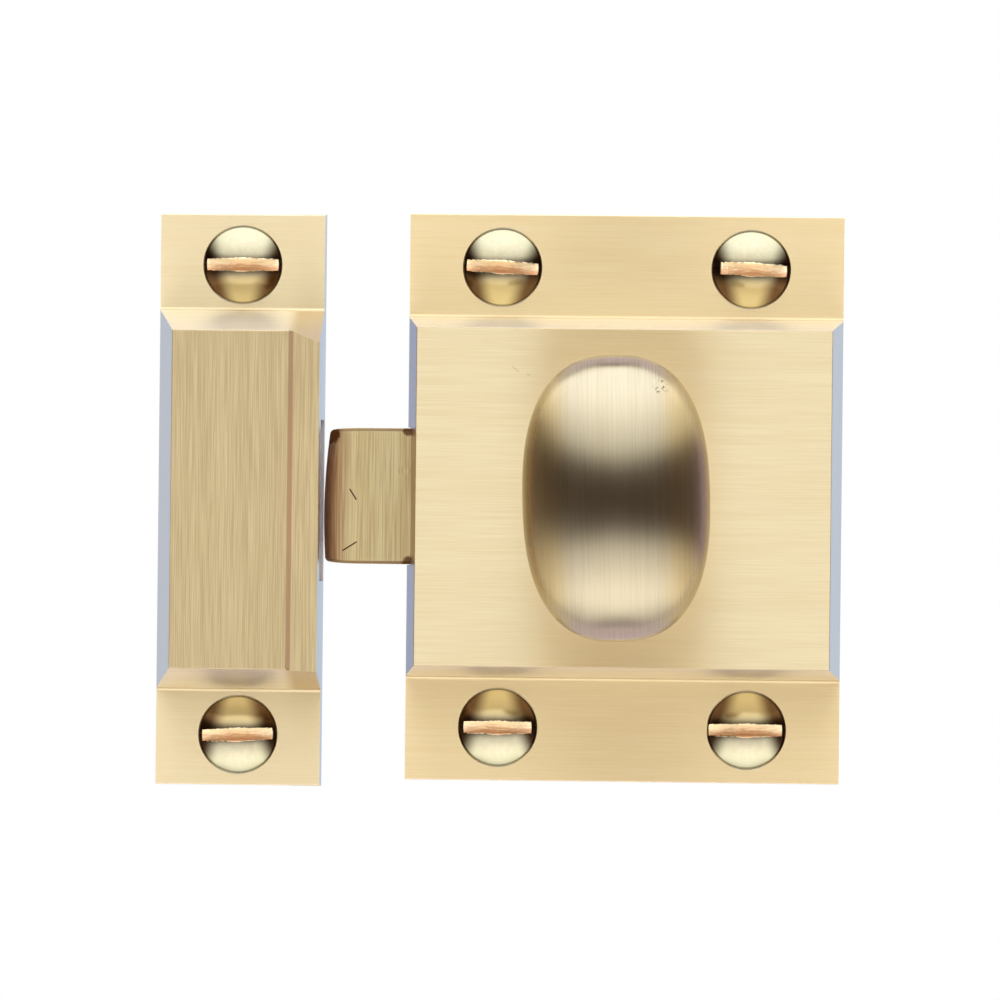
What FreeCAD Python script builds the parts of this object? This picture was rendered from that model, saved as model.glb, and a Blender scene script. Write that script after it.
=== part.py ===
import FreeCAD, Part
import math
import os
import Sketcher

# Cupboard catch latch: a cast brass case with an oval turn knob and a sprung bolt, and its keeper.
# Frame: X runs from the keeper to the case, Z is up, Y runs into the door. The mounting plane is
# y = 0, the faces look along -Y, and the origin is the middle of the case's four screws.

# Driving dimensions in millimetres, angles in degrees: alias, value, what it is.
DIMENSIONS = [
    ("case_width", 38.75, "case across the flanges"),
    ("case_height", 50.8, "case from flange end to flange end"),
    ("case_depth", 10.0, "mounting plane to raised face, case and keeper"),
    ("flange_depth", 2.8, "thickness of the flanges, case and keeper"),
    ("case_draft", 1.0, "how far each side leans in above the flanges"),
    ("face_height", 30.0, "raised faces, top edge to bottom edge"),
    ("case_ramp", 1.0, "how far the case's end slopes run out"),
    ("end_draft", 0.1, "how far the flange ends lean in"),
    ("foot_radius", 0.4, "fillet where an end slope meets its flange"),
    ("edge_radius", 0.12, "softening of the outer edges"),
    ("cavity_width", 33.8, "inside of the case across"),
    ("cavity_height", 24.0, "inside of the case from top to bottom"),
    ("front_wall", 2.0, "wall behind the case's raised face"),
    ("corner_radius", 1.5, "inside corners of the castings"),
    ("screw_pitch_x", 22.2, "case screws across"),
    ("screw_pitch_z", 41.1, "case screws from top to bottom"),
    ("plate_depth", 1.0, "thickness of the back plate"),
    ("plate_width", 35.8, "back plate across"),
    ("plate_height", 33.0, "back plate from top to bottom"),
    ("plate_gap", 0.1, "room round the back plate"),
    ("plate_screw_z", 14.3, "back plate screws from the middle"),
    ("plate_screw_radius", 1.0, "shank of a back plate screw"),
    ("plate_screw_head", 1.8, "head radius of a back plate screw"),
    ("plate_screw_length", 5.5, "back plate screw, head to tip"),
    ("keeper_x", -34.35, "middle of the keeper from the origin"),
    ("keeper_z", -0.45, "how far the keeper sits from level with the case"),
    ("keeper_width", 14.7, "keeper across the flanges"),
    ("keeper_height", 51.25, "keeper from flange end to flange end"),
    ("keeper_draft", 1.65, "lean of the keeper's outer side above the flanges"),
    ("keeper_ramp", 1.9, "how far the keeper's end slopes run out"),
    ("keeper_pitch", 42.0, "keeper screws from top to bottom"),
    ("lip_width", 2.7, "lowered lip on the keeper's bolt side"),
    ("lip_step", 0.35, "step down to the lip, and the run of its sloping wall"),
    ("lip_fall", 0.4, "fall of the lip to its outer edge"),
    ("lip_runout", 1.4, "how far the lip's upper end slants down to its outer edge"),
    ("lip_clear", 0.02, "where that slant starts, in front of the end slope"),
    ("mouth_height", 14.4, "socket for the bolt from top to bottom"),
    ("mouth_back", 1.0, "floor behind the socket"),
    ("mouth_front", 6.4, "front of the socket from the mounting plane"),
    ("mouth_reach", 10.8, "socket from the keeper's bolt side"),
    ("spindle_x", -0.4, "spindle from the origin"),
    ("front_journal", 3.0, "radius of the spindle in the case"),
    ("rear_journal", 1.8, "radius of the spindle in the back plate"),
    ("journal_gap", 0.05, "radial room round each journal"),
    ("press_gap", 0.01, "radial room of the knob on the spindle, before it is pressed"),
    ("collar_radius", 4.2, "spindle collar behind the front wall"),
    ("collar_depth", 1.0, "thickness of the collar"),
    ("square_side", 4.2, "spindle's square across flats"),
    ("square_gap", 0.03, "room round the square in the cam"),
    ("stub_length", 7.0, "spindle in front of the raised face"),
    ("cam_back", 4.1, "back of the cam from the mounting plane"),
    ("cam_thickness", 2.8, "thickness of the cam"),
    ("cam_hub", 4.2, "radius of the cam's hub"),
    ("cam_base", 5.0, "base circle of the cam's involute flank"),
    ("knob_turn", 80.0, "turn of the knob that draws the bolt in"),
    ("tip_margin", 4.0, "flank past the last contact, as a turn"),
    ("bolt_tip", -26.75, "end of the bolt's nose at rest"),
    ("bolt_height", 12.1, "nose from top to bottom"),
    ("bolt_back", 1.2, "back of the bolt from the mounting plane"),
    ("bolt_front", 5.8, "front of the nose from the mounting plane"),
    ("bolt_gap", 0.1, "room round the nose in the case"),
    ("nose_inner", -14.6, "inner end of the thick nose"),
    ("nose_round", 1.6, "rounding of the nose's front edge"),
    ("nose_corner", 0.35, "rounding of the nose's corners and its front's upper and lower edges"),
    ("bevel_length", 4.4, "striking bevel along the nose"),
    ("bevel_depth", 2.5, "striking bevel from the back"),
    ("slide_height", 19.0, "slide plate from top to bottom"),
    ("slide_depth", 2.6, "thickness of the slide plate"),
    ("slide_end", 5.5, "inner end of the slide plate"),
    ("shoulder_gap", 0.05, "slide's shoulder from the case wall at rest"),
    ("travel_room", 7.3, "slot in the slide for the rear journal"),
    ("lug_gap", 0.03, "cam flank to drive lug"),
    ("lug_width", 3.4, "drive lug along the travel"),
    ("lug_low", 4.5, "lower end of the drive lug"),
    ("lug_high", 8.4, "upper end of the drive lug"),
    ("seat_depth", 1.3, "spring seat along the travel"),
    ("seat_height", 6.0, "spring seat from top to bottom"),
    ("seat_front", 6.1, "front of the spring seat"),
    ("spring_y", 3.6, "axis of the spring from the mounting plane"),
    ("spring_radius", 2.15, "middle radius of the coils"),
    ("wire_radius", 0.35, "radius of the spring wire"),
    ("spring_turns", 5.5, "turns of the spring"),
    ("spring_gap", 0.05, "room at each end of the spring"),
    ("spigot_radius", 1.5, "peg that holds the spring"),
    ("spigot_length", 2.4, "length of that peg"),
    ("washer_radius", 4.6, "thrust washer under the knob"),
    ("washer_depth", 0.5, "thickness of the washer"),
    ("knob_width", 16.3, "oval of the knob across"),
    ("knob_height", 24.9, "oval of the knob from top to bottom"),
    ("knob_middle", 20.6, "widest section from the mounting plane"),
    ("knob_front", 6.6, "crown of the knob in front of that section"),
    ("knob_rear", 5.2, "belly of the knob behind that section"),
    ("oval_power", 2.5, "squareness of the oval, where 2 is an ellipse"),
    ("knob_lean", 1.7, "how far the knob was left turned from upright"),
    ("neck_radius", 4.1, "foot of the knob's neck"),
    ("neck_foot", 0.8, "straight foot of the neck"),
    ("waist_radius", 3.7, "neck at its thinnest"),
    ("waist_start", 1.6, "thinnest part's start from the foot"),
    ("waist_end", 3.6, "thinnest part's end from the foot"),
    ("neck_flare", 5.0, "radius of the neck where it runs into the head"),
    ("neck_sink", 1.4, "how far the neck runs into the head"),
    ("head_radius", 3.45, "rim of a wood screw's head"),
    ("head_rise", 1.2, "dome of the head above its rim"),
    ("head_sink", 0.1, "rim below the flange's surface"),
    ("shank_radius", 1.95, "plain shank of a wood screw"),
    ("thread_radius", 1.75, "threaded part of a wood screw, over its crests"),
    ("thread_length", 11.8, "threaded part, mounting plane to point"),
    ("point_length", 3.5, "tapered point of a wood screw"),
    ("hole_gap", 0.05, "room round a wood screw's shank"),
    ("slot_width", 1.05, "screwdriver slot across"),
    ("slot_depth", 1.1, "screwdriver slot from the top of the dome"),
    ("plate_slot_width", 0.5, "slot of a back plate screw"),
    ("plate_slot_depth", 0.4, "depth of that slot"),
    ("overcut", 1.0, "how far a cutter runs past what it cuts"),
]

# How far each screw's slot is turned from level, as the screws were left when driven home.
CASE_SCREW_TURNS = {(-1, 1): 3.0, (1, 1): 2.5, (-1, -1): 0.0, (1, -1): 0.0}
KEEPER_SCREW_TURNS = {1: 0.0, -1: -2.0}

# Lengths nearer than this, in millimetres, count as equal when edges are chosen.
CLOSE = 0.01

NODES = [
    "latch_case", "back_plate", "back_plate_screws", "case_screws", "keeper", "keeper_screws",
    "spindle", "knob_washer", "knob", "cam", "bolt", "bolt_spring",
]

doc = FreeCAD.newDocument("cupboard_catch")
sheet = doc.addObject("Spreadsheet::Sheet", "dims")
for row, (alias, size, meaning) in enumerate(DIMENSIONS, start=1):
    sheet.set(f"A{row}", alias)
    sheet.set(f"B{row}", str(size))
    sheet.setAlias(f"B{row}", alias)
    sheet.set(f"C{row}", meaning)
doc.recompute()


def dim(alias):
    """A driving dimension's value, for shapes that formulas make."""
    return float(sheet.get(alias))


def new_body(name):
    body = doc.addObject("PartDesign::Body", name)
    body.Label = name
    return body


def place(thing, across="0", back="0", up="0"):
    """Bind an object's place to three expressions."""
    for axis, expression in zip("xyz", (across, back, up)):
        thing.setExpression(f"Placement.Base.{axis}", expression)


def new_sketch(body, name, role, offset="0"):
    """A sketch on one of the body's own origin planes, moved along its normal."""
    sketch = body.newObject("Sketcher::SketchObject", name)
    support = next(f for f in body.Origin.OriginFeatures if f.Role == role)
    sketch.AttachmentSupport = (support, [""])
    sketch.MapMode = "FlatFace"
    sketch.setExpression("AttachmentOffset.Base.z", offset)
    return sketch


def pin(sketch, geometry, point, across, up):
    """Dimension one point of a sketch from the sketch's origin."""
    for kind, expression, axis in (("DistanceX", across, -2), ("DistanceY", up, -1)):
        if expression == "0":
            sketch.addConstraint(Sketcher.Constraint("PointOnObject", geometry, point, axis))
            continue
        index = sketch.addConstraint(Sketcher.Constraint(kind, -1, 1, geometry, point, 1.0))
        sketch.setExpression(f"Constraints[{index}]", expression)


def outline(sketch, points):
    """Draw a closed outline of straight runs through dimensioned points."""
    first = sketch.GeometryCount
    count = len(points)
    turn = 2 * math.pi / count
    spots = [FreeCAD.Vector(math.cos(turn * i), math.sin(turn * i), 0) for i in range(count)]
    for i in range(count):
        sketch.addGeometry(Part.LineSegment(spots[i], spots[(i + 1) % count]), False)
    for i in range(count):
        following = first + (i + 1) % count
        sketch.addConstraint(Sketcher.Constraint("Coincident", first + i, 2, following, 1))
    for i, (across, up) in enumerate(points):
        pin(sketch, first + i, 1, across, up)


def rectangle(sketch, low_x, high_x, low_y, high_y):
    outline(sketch, [(low_x, low_y), (high_x, low_y), (high_x, high_y), (low_x, high_y)])


def circle(sketch, across, up, radius):
    ring = Part.Circle(FreeCAD.Vector(0, 0, 0), FreeCAD.Vector(0, 0, 1), 1.0)
    index = sketch.addGeometry(ring, False)
    pin(sketch, index, 3, across, up)
    size = sketch.addConstraint(Sketcher.Constraint("Radius", index, 1.0))
    sketch.setExpression(f"Constraints[{size}]", radius)


def pad(body, name, sketch, length, symmetric=False):
    feature = body.newObject("PartDesign::Pad", name)
    feature.Profile = sketch
    feature.SideType = "Symmetric" if symmetric else "One side"
    feature.setExpression("Length", length)
    return feature


def pocket(body, name, sketch, length=None, forward=True, symmetric=False):
    """Cut a sketch out of the body; forward follows the sketch's normal, no length cuts through."""
    feature = body.newObject("PartDesign::Pocket", name)
    feature.Profile = sketch
    feature.SideType = "Symmetric" if symmetric else "One side"
    feature.Reversed = forward
    if length is None:
        feature.Type = "ThroughAll"
    else:
        feature.setExpression("Length", length)
    return feature


def revolve(body, name, sketch):
    feature = body.newObject("PartDesign::Revolution", name)
    feature.Profile = sketch
    feature.ReferenceAxis = (sketch, ["V_Axis"])
    feature.Angle = 360.0
    return feature


def round_edges(body, name, radius, chosen):
    """Fillet the edges of the body so far that a test on their bounding box chooses."""
    doc.recompute()
    base = body.Tip
    edges = [f"Edge{i}" for i, e in enumerate(base.Shape.Edges, start=1) if chosen(e.BoundBox)]
    feature = body.newObject("PartDesign::Fillet", name)
    feature.Base = (base, edges)
    feature.setExpression("Radius", radius)
    return feature


def countersunk_holes(body, name, centres, surface, radius, head, forward=False):
    """Through holes with a right-angled countersink at the plane of the given height."""
    sketch = new_sketch(body, name + "_centres", "XZ_Plane", surface)
    for across, up in centres:
        circle(sketch, across, up, radius)
    doc.recompute()
    hole = body.newObject("PartDesign::Hole", name)
    hole.Profile = sketch
    hole.DepthType = "ThroughAll"
    hole.HoleCutType = "Countersink"
    hole.HoleCutCustomValues = True
    hole.HoleCutCountersinkAngle = 90.0
    hole.Reversed = forward
    hole.setExpression("Diameter", f"2 * ({radius})")
    hole.setExpression("HoleCutDiameter", f"2 * ({head})")
    return hole


def near(value, target):
    return abs(value - target) < CLOSE


# Castings: a drafted section drawn along Z, its ends cut down to flanges

def casting(name, section, height, ramp):
    """A case or keeper: its section across, then the side view's slopes and flanges."""
    body = new_body(name)
    across = new_sketch(body, name + "_section", "XY_Plane")
    outline(across, section)
    pad(body, name + "_length", across, height, symmetric=True)
    side = new_sketch(body, name + "_side", "YZ_Plane")
    rise = f"{ramp} / (dims.case_depth - dims.flange_depth)"
    for sign in ("", "-"):
        outline(side, [
            ("-dims.flange_depth", f"{sign}(dims.face_height / 2 + {ramp})"),
            ("-dims.flange_depth", f"{sign}({height} / 2 - dims.end_draft)"),
            ("0", f"{sign}({height} / 2)"),
            ("0", f"{sign}({height} / 2 + dims.overcut)"),
            ("-(dims.case_depth + dims.overcut)", f"{sign}({height} / 2 + dims.overcut)"),
            ("-(dims.case_depth + dims.overcut)", f"{sign}(dims.face_height / 2 - dims.overcut * {rise})"),
        ])
    pocket(body, name + "_ends", side, symmetric=True)
    foot = dim("face_height") / 2 + dim(ramp.removeprefix("dims."))
    flange = -dim("flange_depth")
    round_edges(body, name + "_feet", "dims.foot_radius", lambda box: (
        near(box.YMin, flange) and near(box.YMax, flange)
        and near(abs(box.ZMin), foot) and near(box.ZMin, box.ZMax)))
    return body


def soften(body, name, limit):
    """Take the sharpness off the flanges' ends, and off the raised face's edges up to x = limit."""
    front = -dim("case_depth")
    flange = -dim("flange_depth")
    past_slope = dim("case_height") / 2 - dim("overcut")
    longer_than_a_corner = dim("head_radius")

    def outer(box):
        on_face = near(box.YMax, front) and box.XMax < limit + CLOSE and box.XMin < limit - CLOSE
        on_end = near(box.YMin, flange) and near(box.YMax, flange) and abs(box.ZMin) > past_slope
        return on_face or (on_end and box.XLength > longer_than_a_corner)
    return round_edges(body, name, "dims.edge_radius", outer)


def make_case():
    half = "dims.case_width / 2"
    lean = "(dims.case_width / 2 - dims.case_draft)"
    body = casting("latch_case", [
        (f"-{half}", "0"),
        (half, "0"),
        (half, "-dims.flange_depth"),
        (lean, "-dims.case_depth"),
        (f"-{lean}", "-dims.case_depth"),
        (f"-{half}", "-dims.flange_depth"),
    ], "dims.case_height", "dims.case_ramp")
    soften(body, "case_edges", dim("case_width"))

    cavity = new_sketch(body, "case_cavity", "XZ_Plane")
    rectangle(cavity, "-dims.cavity_width / 2", "dims.cavity_width / 2",
              "-dims.cavity_height / 2", "dims.cavity_height / 2")
    pocket(body, "case_hollow", cavity, "dims.case_depth - dims.front_wall")
    depth = dim("case_depth") - dim("front_wall")
    wide = dim("cavity_width") / 2
    tall = dim("cavity_height") / 2
    round_edges(body, "case_corners", "dims.corner_radius", lambda box: (
        near(box.YLength, depth) and near(abs(box.XMin), wide) and near(abs(box.ZMin), tall)))

    rebate = new_sketch(body, "case_rebate", "XZ_Plane")
    rectangle(rebate, "-(dims.plate_width / 2 + dims.plate_gap)", "dims.plate_width / 2 + dims.plate_gap",
              "-(dims.plate_height / 2 + dims.plate_gap)", "dims.plate_height / 2 + dims.plate_gap")
    pocket(body, "case_plate_seat", rebate, "dims.plate_depth")

    gate = new_sketch(body, "case_gate", "XZ_Plane")
    room = "(dims.bolt_height / 2 + dims.bolt_gap)"
    rectangle(gate, "-(dims.case_width / 2 + dims.overcut)", "-(dims.cavity_width / 2 - dims.overcut)",
              f"-{room}", room)
    pocket(body, "case_bolt_gate", gate, "dims.bolt_front + dims.bolt_gap")

    bore = new_sketch(body, "case_bore", "XZ_Plane")
    circle(bore, "dims.spindle_x", "0", "dims.front_journal + dims.journal_gap")
    pocket(body, "case_spindle_bore", bore)

    taps = new_sketch(body, "case_taps", "XZ_Plane")
    for sign in ("", "-"):
        circle(taps, "0", f"{sign}dims.plate_screw_z", "dims.plate_screw_radius + dims.journal_gap")
    pocket(body, "case_plate_taps", taps, "dims.plate_screw_length + dims.overcut")

    centres = [(f"{x}dims.screw_pitch_x / 2", f"{z}dims.screw_pitch_z / 2")
               for x in ("", "-") for z in ("", "-")]
    countersunk_holes(body, "case_holes", centres, "dims.flange_depth",
                      "dims.shank_radius + dims.hole_gap", "dims.head_radius + dims.head_sink")
    return body


def make_keeper():
    left = "-dims.keeper_width / 2"
    right = "dims.keeper_width / 2"
    lip = f"({right} - dims.lip_width)"
    body = casting("keeper", [
        (left, "0"),
        (right, "0"),
        (right, "-(dims.case_depth - dims.lip_step - dims.lip_fall)"),
        (f"{lip} + dims.lip_step", "-(dims.case_depth - dims.lip_step)"),
        (lip, "-dims.case_depth"),
        (f"{left} + dims.keeper_draft", "-dims.case_depth"),
        (left, "-dims.flange_depth"),
    ], "dims.keeper_height", "dims.keeper_ramp")
    soften(body, "keeper_edges", dim("keeper_width") / 2 - dim("lip_width"))

    mouth = new_sketch(body, "keeper_mouth", "YZ_Plane", f"{right} + dims.overcut")
    rectangle(mouth, "-dims.mouth_front", "-dims.mouth_back",
              "-dims.mouth_height / 2", "dims.mouth_height / 2")
    pocket(body, "keeper_socket", mouth, "dims.mouth_reach + dims.overcut", forward=False)
    centres = [("0", f"{z}dims.keeper_pitch / 2") for z in ("", "-")]
    countersunk_holes(body, "keeper_holes", centres, "dims.flange_depth",
                      "dims.shank_radius + dims.hole_gap", "dims.head_radius + dims.head_sink")
    lip_end(body, lip, right)
    place(body, "dims.keeper_x", up="dims.keeper_z")
    return body


def lip_end(body, lip, right):
    """Twist the upper end slope over the lip, so that the lip ends along a slanting line."""
    rise = "dims.keeper_ramp / (dims.case_depth - dims.flange_depth)"
    back = "-(dims.flange_depth + dims.foot_radius)"
    front = "-(dims.case_depth + dims.lip_clear)"
    high = "dims.face_height / 2 + dims.keeper_ramp"
    profiles = []
    for name, across, fall in (("lip_end_inner", lip, "0"), ("lip_end_outer", right, "dims.lip_runout")):
        sketch = new_sketch(body, name, "YZ_Plane", across)
        outline(sketch, [
            (back, f"{high} - dims.foot_radius * {rise} + dims.lip_clear"),
            (back, f"{high} + dims.overcut"),
            (front, f"{high} + dims.overcut"),
            (front, f"dims.face_height / 2 + dims.lip_clear - {fall}"),
        ])
        profiles.append(sketch)
    doc.recompute()
    cut = body.newObject("PartDesign::SubtractiveLoft", "keeper_lip_end")
    cut.Profile = profiles[0]
    cut.Sections = profiles[1:]
    cut.Ruled = True
    return cut


def make_back_plate():
    """Plate with a tongue that closes the gate behind the bolt."""
    body = new_body("back_plate")
    sketch = new_sketch(body, "plate_outline", "XZ_Plane")
    wide = "dims.plate_width / 2"
    tall = "dims.plate_height / 2"
    tongue = "dims.bolt_height / 2"
    reach = "-(dims.case_width / 2 - 2 * dims.plate_gap)"
    outline(sketch, [
        (f"-{wide}", f"-{tall}"), (wide, f"-{tall}"), (wide, tall), (f"-{wide}", tall),
        (f"-{wide}", tongue), (reach, tongue), (reach, f"-{tongue}"), (f"-{wide}", f"-{tongue}"),
    ])
    pad(body, "plate_sheet", sketch, "dims.plate_depth")
    bore = new_sketch(body, "plate_bore", "XZ_Plane")
    circle(bore, "dims.spindle_x", "0", "dims.rear_journal + dims.journal_gap")
    pocket(body, "plate_spindle_bore", bore)
    countersunk_holes(body, "plate_holes", [("0", "dims.plate_screw_z"), ("0", "-dims.plate_screw_z")], "0",
                      "dims.plate_screw_radius + dims.journal_gap", "dims.plate_screw_head", forward=True)
    return body


# Screws: one turned master of each kind, and groups of placed copies

def make_wood_screw():
    """Raised countersunk wood screw: rim on y = 0, dome towards -Y, slot along X."""
    body = new_body("wood_screw")
    half = new_sketch(body, "wood_screw_half", "XY_Plane")
    rim = dim("head_radius")
    rise = dim("head_rise")
    curve = (rim ** 2 + rise ** 2) / (2 * rise)
    middle = FreeCAD.Vector(0, curve - rise, 0)
    start = -math.pi / 2
    end = math.atan2(-middle.y, rim)
    dome = Part.Circle(middle, FreeCAD.Vector(0, 0, 1), curve)
    half.addGeometry(Part.ArcOfCircle(dome, start, end), False)
    shank = dim("shank_radius")
    thread = dim("thread_radius")
    plain = dim("flange_depth") - dim("head_sink")
    straight = plain + dim("thread_length")
    tip = straight + dim("point_length")
    spots = [
        FreeCAD.Vector(across, along, 0) for across, along in (
            (rim, 0), (shank, rim - shank), (shank, plain), (thread, plain),
            (thread, straight), (0, tip), (0, -rise))
    ]
    neck_end = "dims.flange_depth - dims.head_sink"
    corners = [
        ("dims.head_radius", "0"),
        ("dims.shank_radius", "dims.head_radius - dims.shank_radius"),
        ("dims.shank_radius", neck_end),
        ("dims.thread_radius", neck_end),
        ("dims.thread_radius", f"{neck_end} + dims.thread_length"),
        ("0", f"{neck_end} + dims.thread_length + dims.point_length"),
        ("0", "-dims.head_rise"),
    ]
    for near_end, far_end in zip(spots, spots[1:]):
        half.addGeometry(Part.LineSegment(near_end, far_end), False)
    last = len(corners) - 1
    half.addConstraint(Sketcher.Constraint("Coincident", 0, 2, 1, 1))
    for i in range(1, last):
        half.addConstraint(Sketcher.Constraint("Coincident", i, 2, i + 1, 1))
    half.addConstraint(Sketcher.Constraint("Coincident", last, 2, 0, 1))
    half.addConstraint(Sketcher.Constraint("PointOnObject", 0, 3, -2))
    for i, (across, up) in enumerate(corners[:last], start=1):
        pin(half, i, 1, across, up)
    pin(half, last, 2, *corners[last])
    revolve(body, "wood_screw_turned", half)
    slot = new_sketch(body, "wood_screw_slot", "XZ_Plane", "dims.head_rise")
    rectangle(slot, "-dims.head_radius", "dims.head_radius", "-dims.slot_width / 2", "dims.slot_width / 2")
    pocket(body, "wood_screw_cut", slot, "dims.slot_depth", forward=False)
    return body


def make_plate_screw():
    """Small countersunk screw: head flush with y = 0, shank towards -Y."""
    body = new_body("plate_screw")
    half = new_sketch(body, "plate_screw_half", "XY_Plane")
    outline(half, [
        ("0", "0"),
        ("dims.plate_screw_head", "0"),
        ("dims.plate_screw_radius", "-(dims.plate_screw_head - dims.plate_screw_radius)"),
        ("dims.plate_screw_radius", "-dims.plate_screw_length"),
        ("0", "-dims.plate_screw_length"),
    ])
    revolve(body, "plate_screw_turned", half)
    slot = new_sketch(body, "plate_screw_slot", "XZ_Plane")
    rectangle(slot, "-dims.plate_screw_head", "dims.plate_screw_head",
              "-dims.plate_slot_width / 2", "dims.plate_slot_width / 2")
    pocket(body, "plate_screw_cut", slot, "dims.plate_slot_depth")
    return body


def screw_group(name, master, seats):
    """Separate copies of a screw as one group, each at its place with its slot turned."""
    copies = []
    for i, (across, back, up, turn) in enumerate(seats):
        copy = doc.addObject("App::Link", f"{name}_{i}")
        copy.LinkedObject = master
        copy.LinkTransform = False
        copy.Placement.Rotation = FreeCAD.Rotation(FreeCAD.Vector(0, 1, 0), turn)
        place(copy, across, back, up)
        copies.append(copy)
    group = doc.addObject("Part::Compound", name)
    group.Label = name
    group.Links = copies
    return group


def make_screws():
    wood_screw = make_wood_screw()
    plate_screw = make_plate_screw()
    rim = "-(dims.flange_depth - dims.head_sink)"
    screw_group("case_screws", wood_screw, [
        (f"{x} * dims.screw_pitch_x / 2", rim, f"{z} * dims.screw_pitch_z / 2", turn)
        for (x, z), turn in CASE_SCREW_TURNS.items()
    ])
    screw_group("keeper_screws", wood_screw, [
        ("dims.keeper_x", rim, f"dims.keeper_z + {z} * dims.keeper_pitch / 2", turn)
        for z, turn in KEEPER_SCREW_TURNS.items()
    ])
    screw_group("back_plate_screws", plate_screw, [
        ("0", "0", f"{z} * dims.plate_screw_z", 0.0) for z in (1, -1)
    ])


# The turning group: spindle, cam, washer and knob on the spindle's axis

def make_spindle():
    body = new_body("spindle")
    half = new_sketch(body, "spindle_half", "XY_Plane")
    wall = "dims.case_depth - dims.front_wall - dims.journal_gap"
    outline(half, [
        ("0", "-2 * dims.journal_gap"),
        ("dims.rear_journal", "-2 * dims.journal_gap"),
        ("dims.rear_journal", f"-({wall} - dims.collar_depth)"),
        ("dims.collar_radius", f"-({wall} - dims.collar_depth)"),
        ("dims.collar_radius", f"-({wall})"),
        ("dims.front_journal", f"-({wall})"),
        ("dims.front_journal", "-(dims.case_depth + dims.stub_length)"),
        ("0", "-(dims.case_depth + dims.stub_length)"),
    ])
    revolve(body, "spindle_turned", half)
    flats = new_sketch(body, "spindle_flats", "XZ_Plane", "dims.cam_back - dims.journal_gap")
    side = "dims.square_side / 2"
    rectangle(flats, f"-{side}", side, f"-{side}", side)
    pad(body, "spindle_square", flats, f"{wall} - dims.collar_depth - dims.cam_back + dims.journal_gap")
    place(body, "dims.spindle_x")
    return body


def make_cam():
    """Cam plate: an involute flank moves the drive lug in step with the turn."""
    base = dim("cam_base")
    hub = dim("cam_hub")
    thickness = dim("cam_thickness")
    roll = math.radians(dim("knob_turn") + dim("tip_margin"))
    flank_points = []
    stations = 8
    for i in range(stations + 1):
        angle = roll * i / stations
        flank_points.append(FreeCAD.Vector(
            base * (angle * math.cos(angle) - math.sin(angle)), 0,
            base * (math.cos(angle) + angle * math.sin(angle))))
    flank = Part.BSplineCurve()
    flank.interpolate(flank_points)
    hub_left = FreeCAD.Vector(-hub, 0, 0)
    hub_top = FreeCAD.Vector(0, 0, hub)
    hub_middle = FreeCAD.Vector(hub * math.sqrt(0.5), 0, -hub * math.sqrt(0.5))
    edges = [
        flank.toShape(),
        Part.LineSegment(flank_points[-1], hub_left).toShape(),
        Part.Arc(hub_left, hub_middle, hub_top).toShape(),
        Part.LineSegment(hub_top, flank_points[0]).toShape(),
    ]
    forward = FreeCAD.Vector(0, -thickness, 0)
    plate = Part.Face(Part.Wire(edges)).extrude(forward)
    side = dim("square_side") / 2 + dim("square_gap")
    square = Part.makePolygon([
        FreeCAD.Vector(x, 0, z) for x, z in
        ((-side, -side), (side, -side), (side, side), (-side, side), (-side, -side))
    ])
    cam = doc.addObject("Part::Feature", "cam")
    cam.Label = "cam"
    cam.Shape = plate.cut(Part.Face(square).extrude(forward))
    place(cam, "dims.spindle_x", "-dims.cam_back")
    return cam


def make_knob_washer():
    body = new_body("knob_washer")
    sketch = new_sketch(body, "washer_ring", "XZ_Plane")
    circle(sketch, "0", "0", "dims.washer_radius")
    circle(sketch, "0", "0", "dims.front_journal + dims.journal_gap")
    pad(body, "washer_sheet", sketch, "dims.washer_depth")
    place(body, "dims.spindle_x", "-dims.case_depth")
    return body


def oval(half_width, half_height, depth, power):
    """A closed squarish oval at one depth, from the superellipse formula."""
    count = 12
    points = []
    for i in range(count):
        angle = 2 * math.pi * i / count
        across = math.copysign(abs(math.cos(angle)) ** (2 / power), math.cos(angle))
        up = math.copysign(abs(math.sin(angle)) ** (2 / power), math.sin(angle))
        points.append(FreeCAD.Vector(half_width * across, -depth, half_height * up))
    curve = Part.BSplineCurve()
    curve.interpolate(Points=points, PeriodicFlag=True)
    return Part.Wire(curve.toShape())


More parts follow.
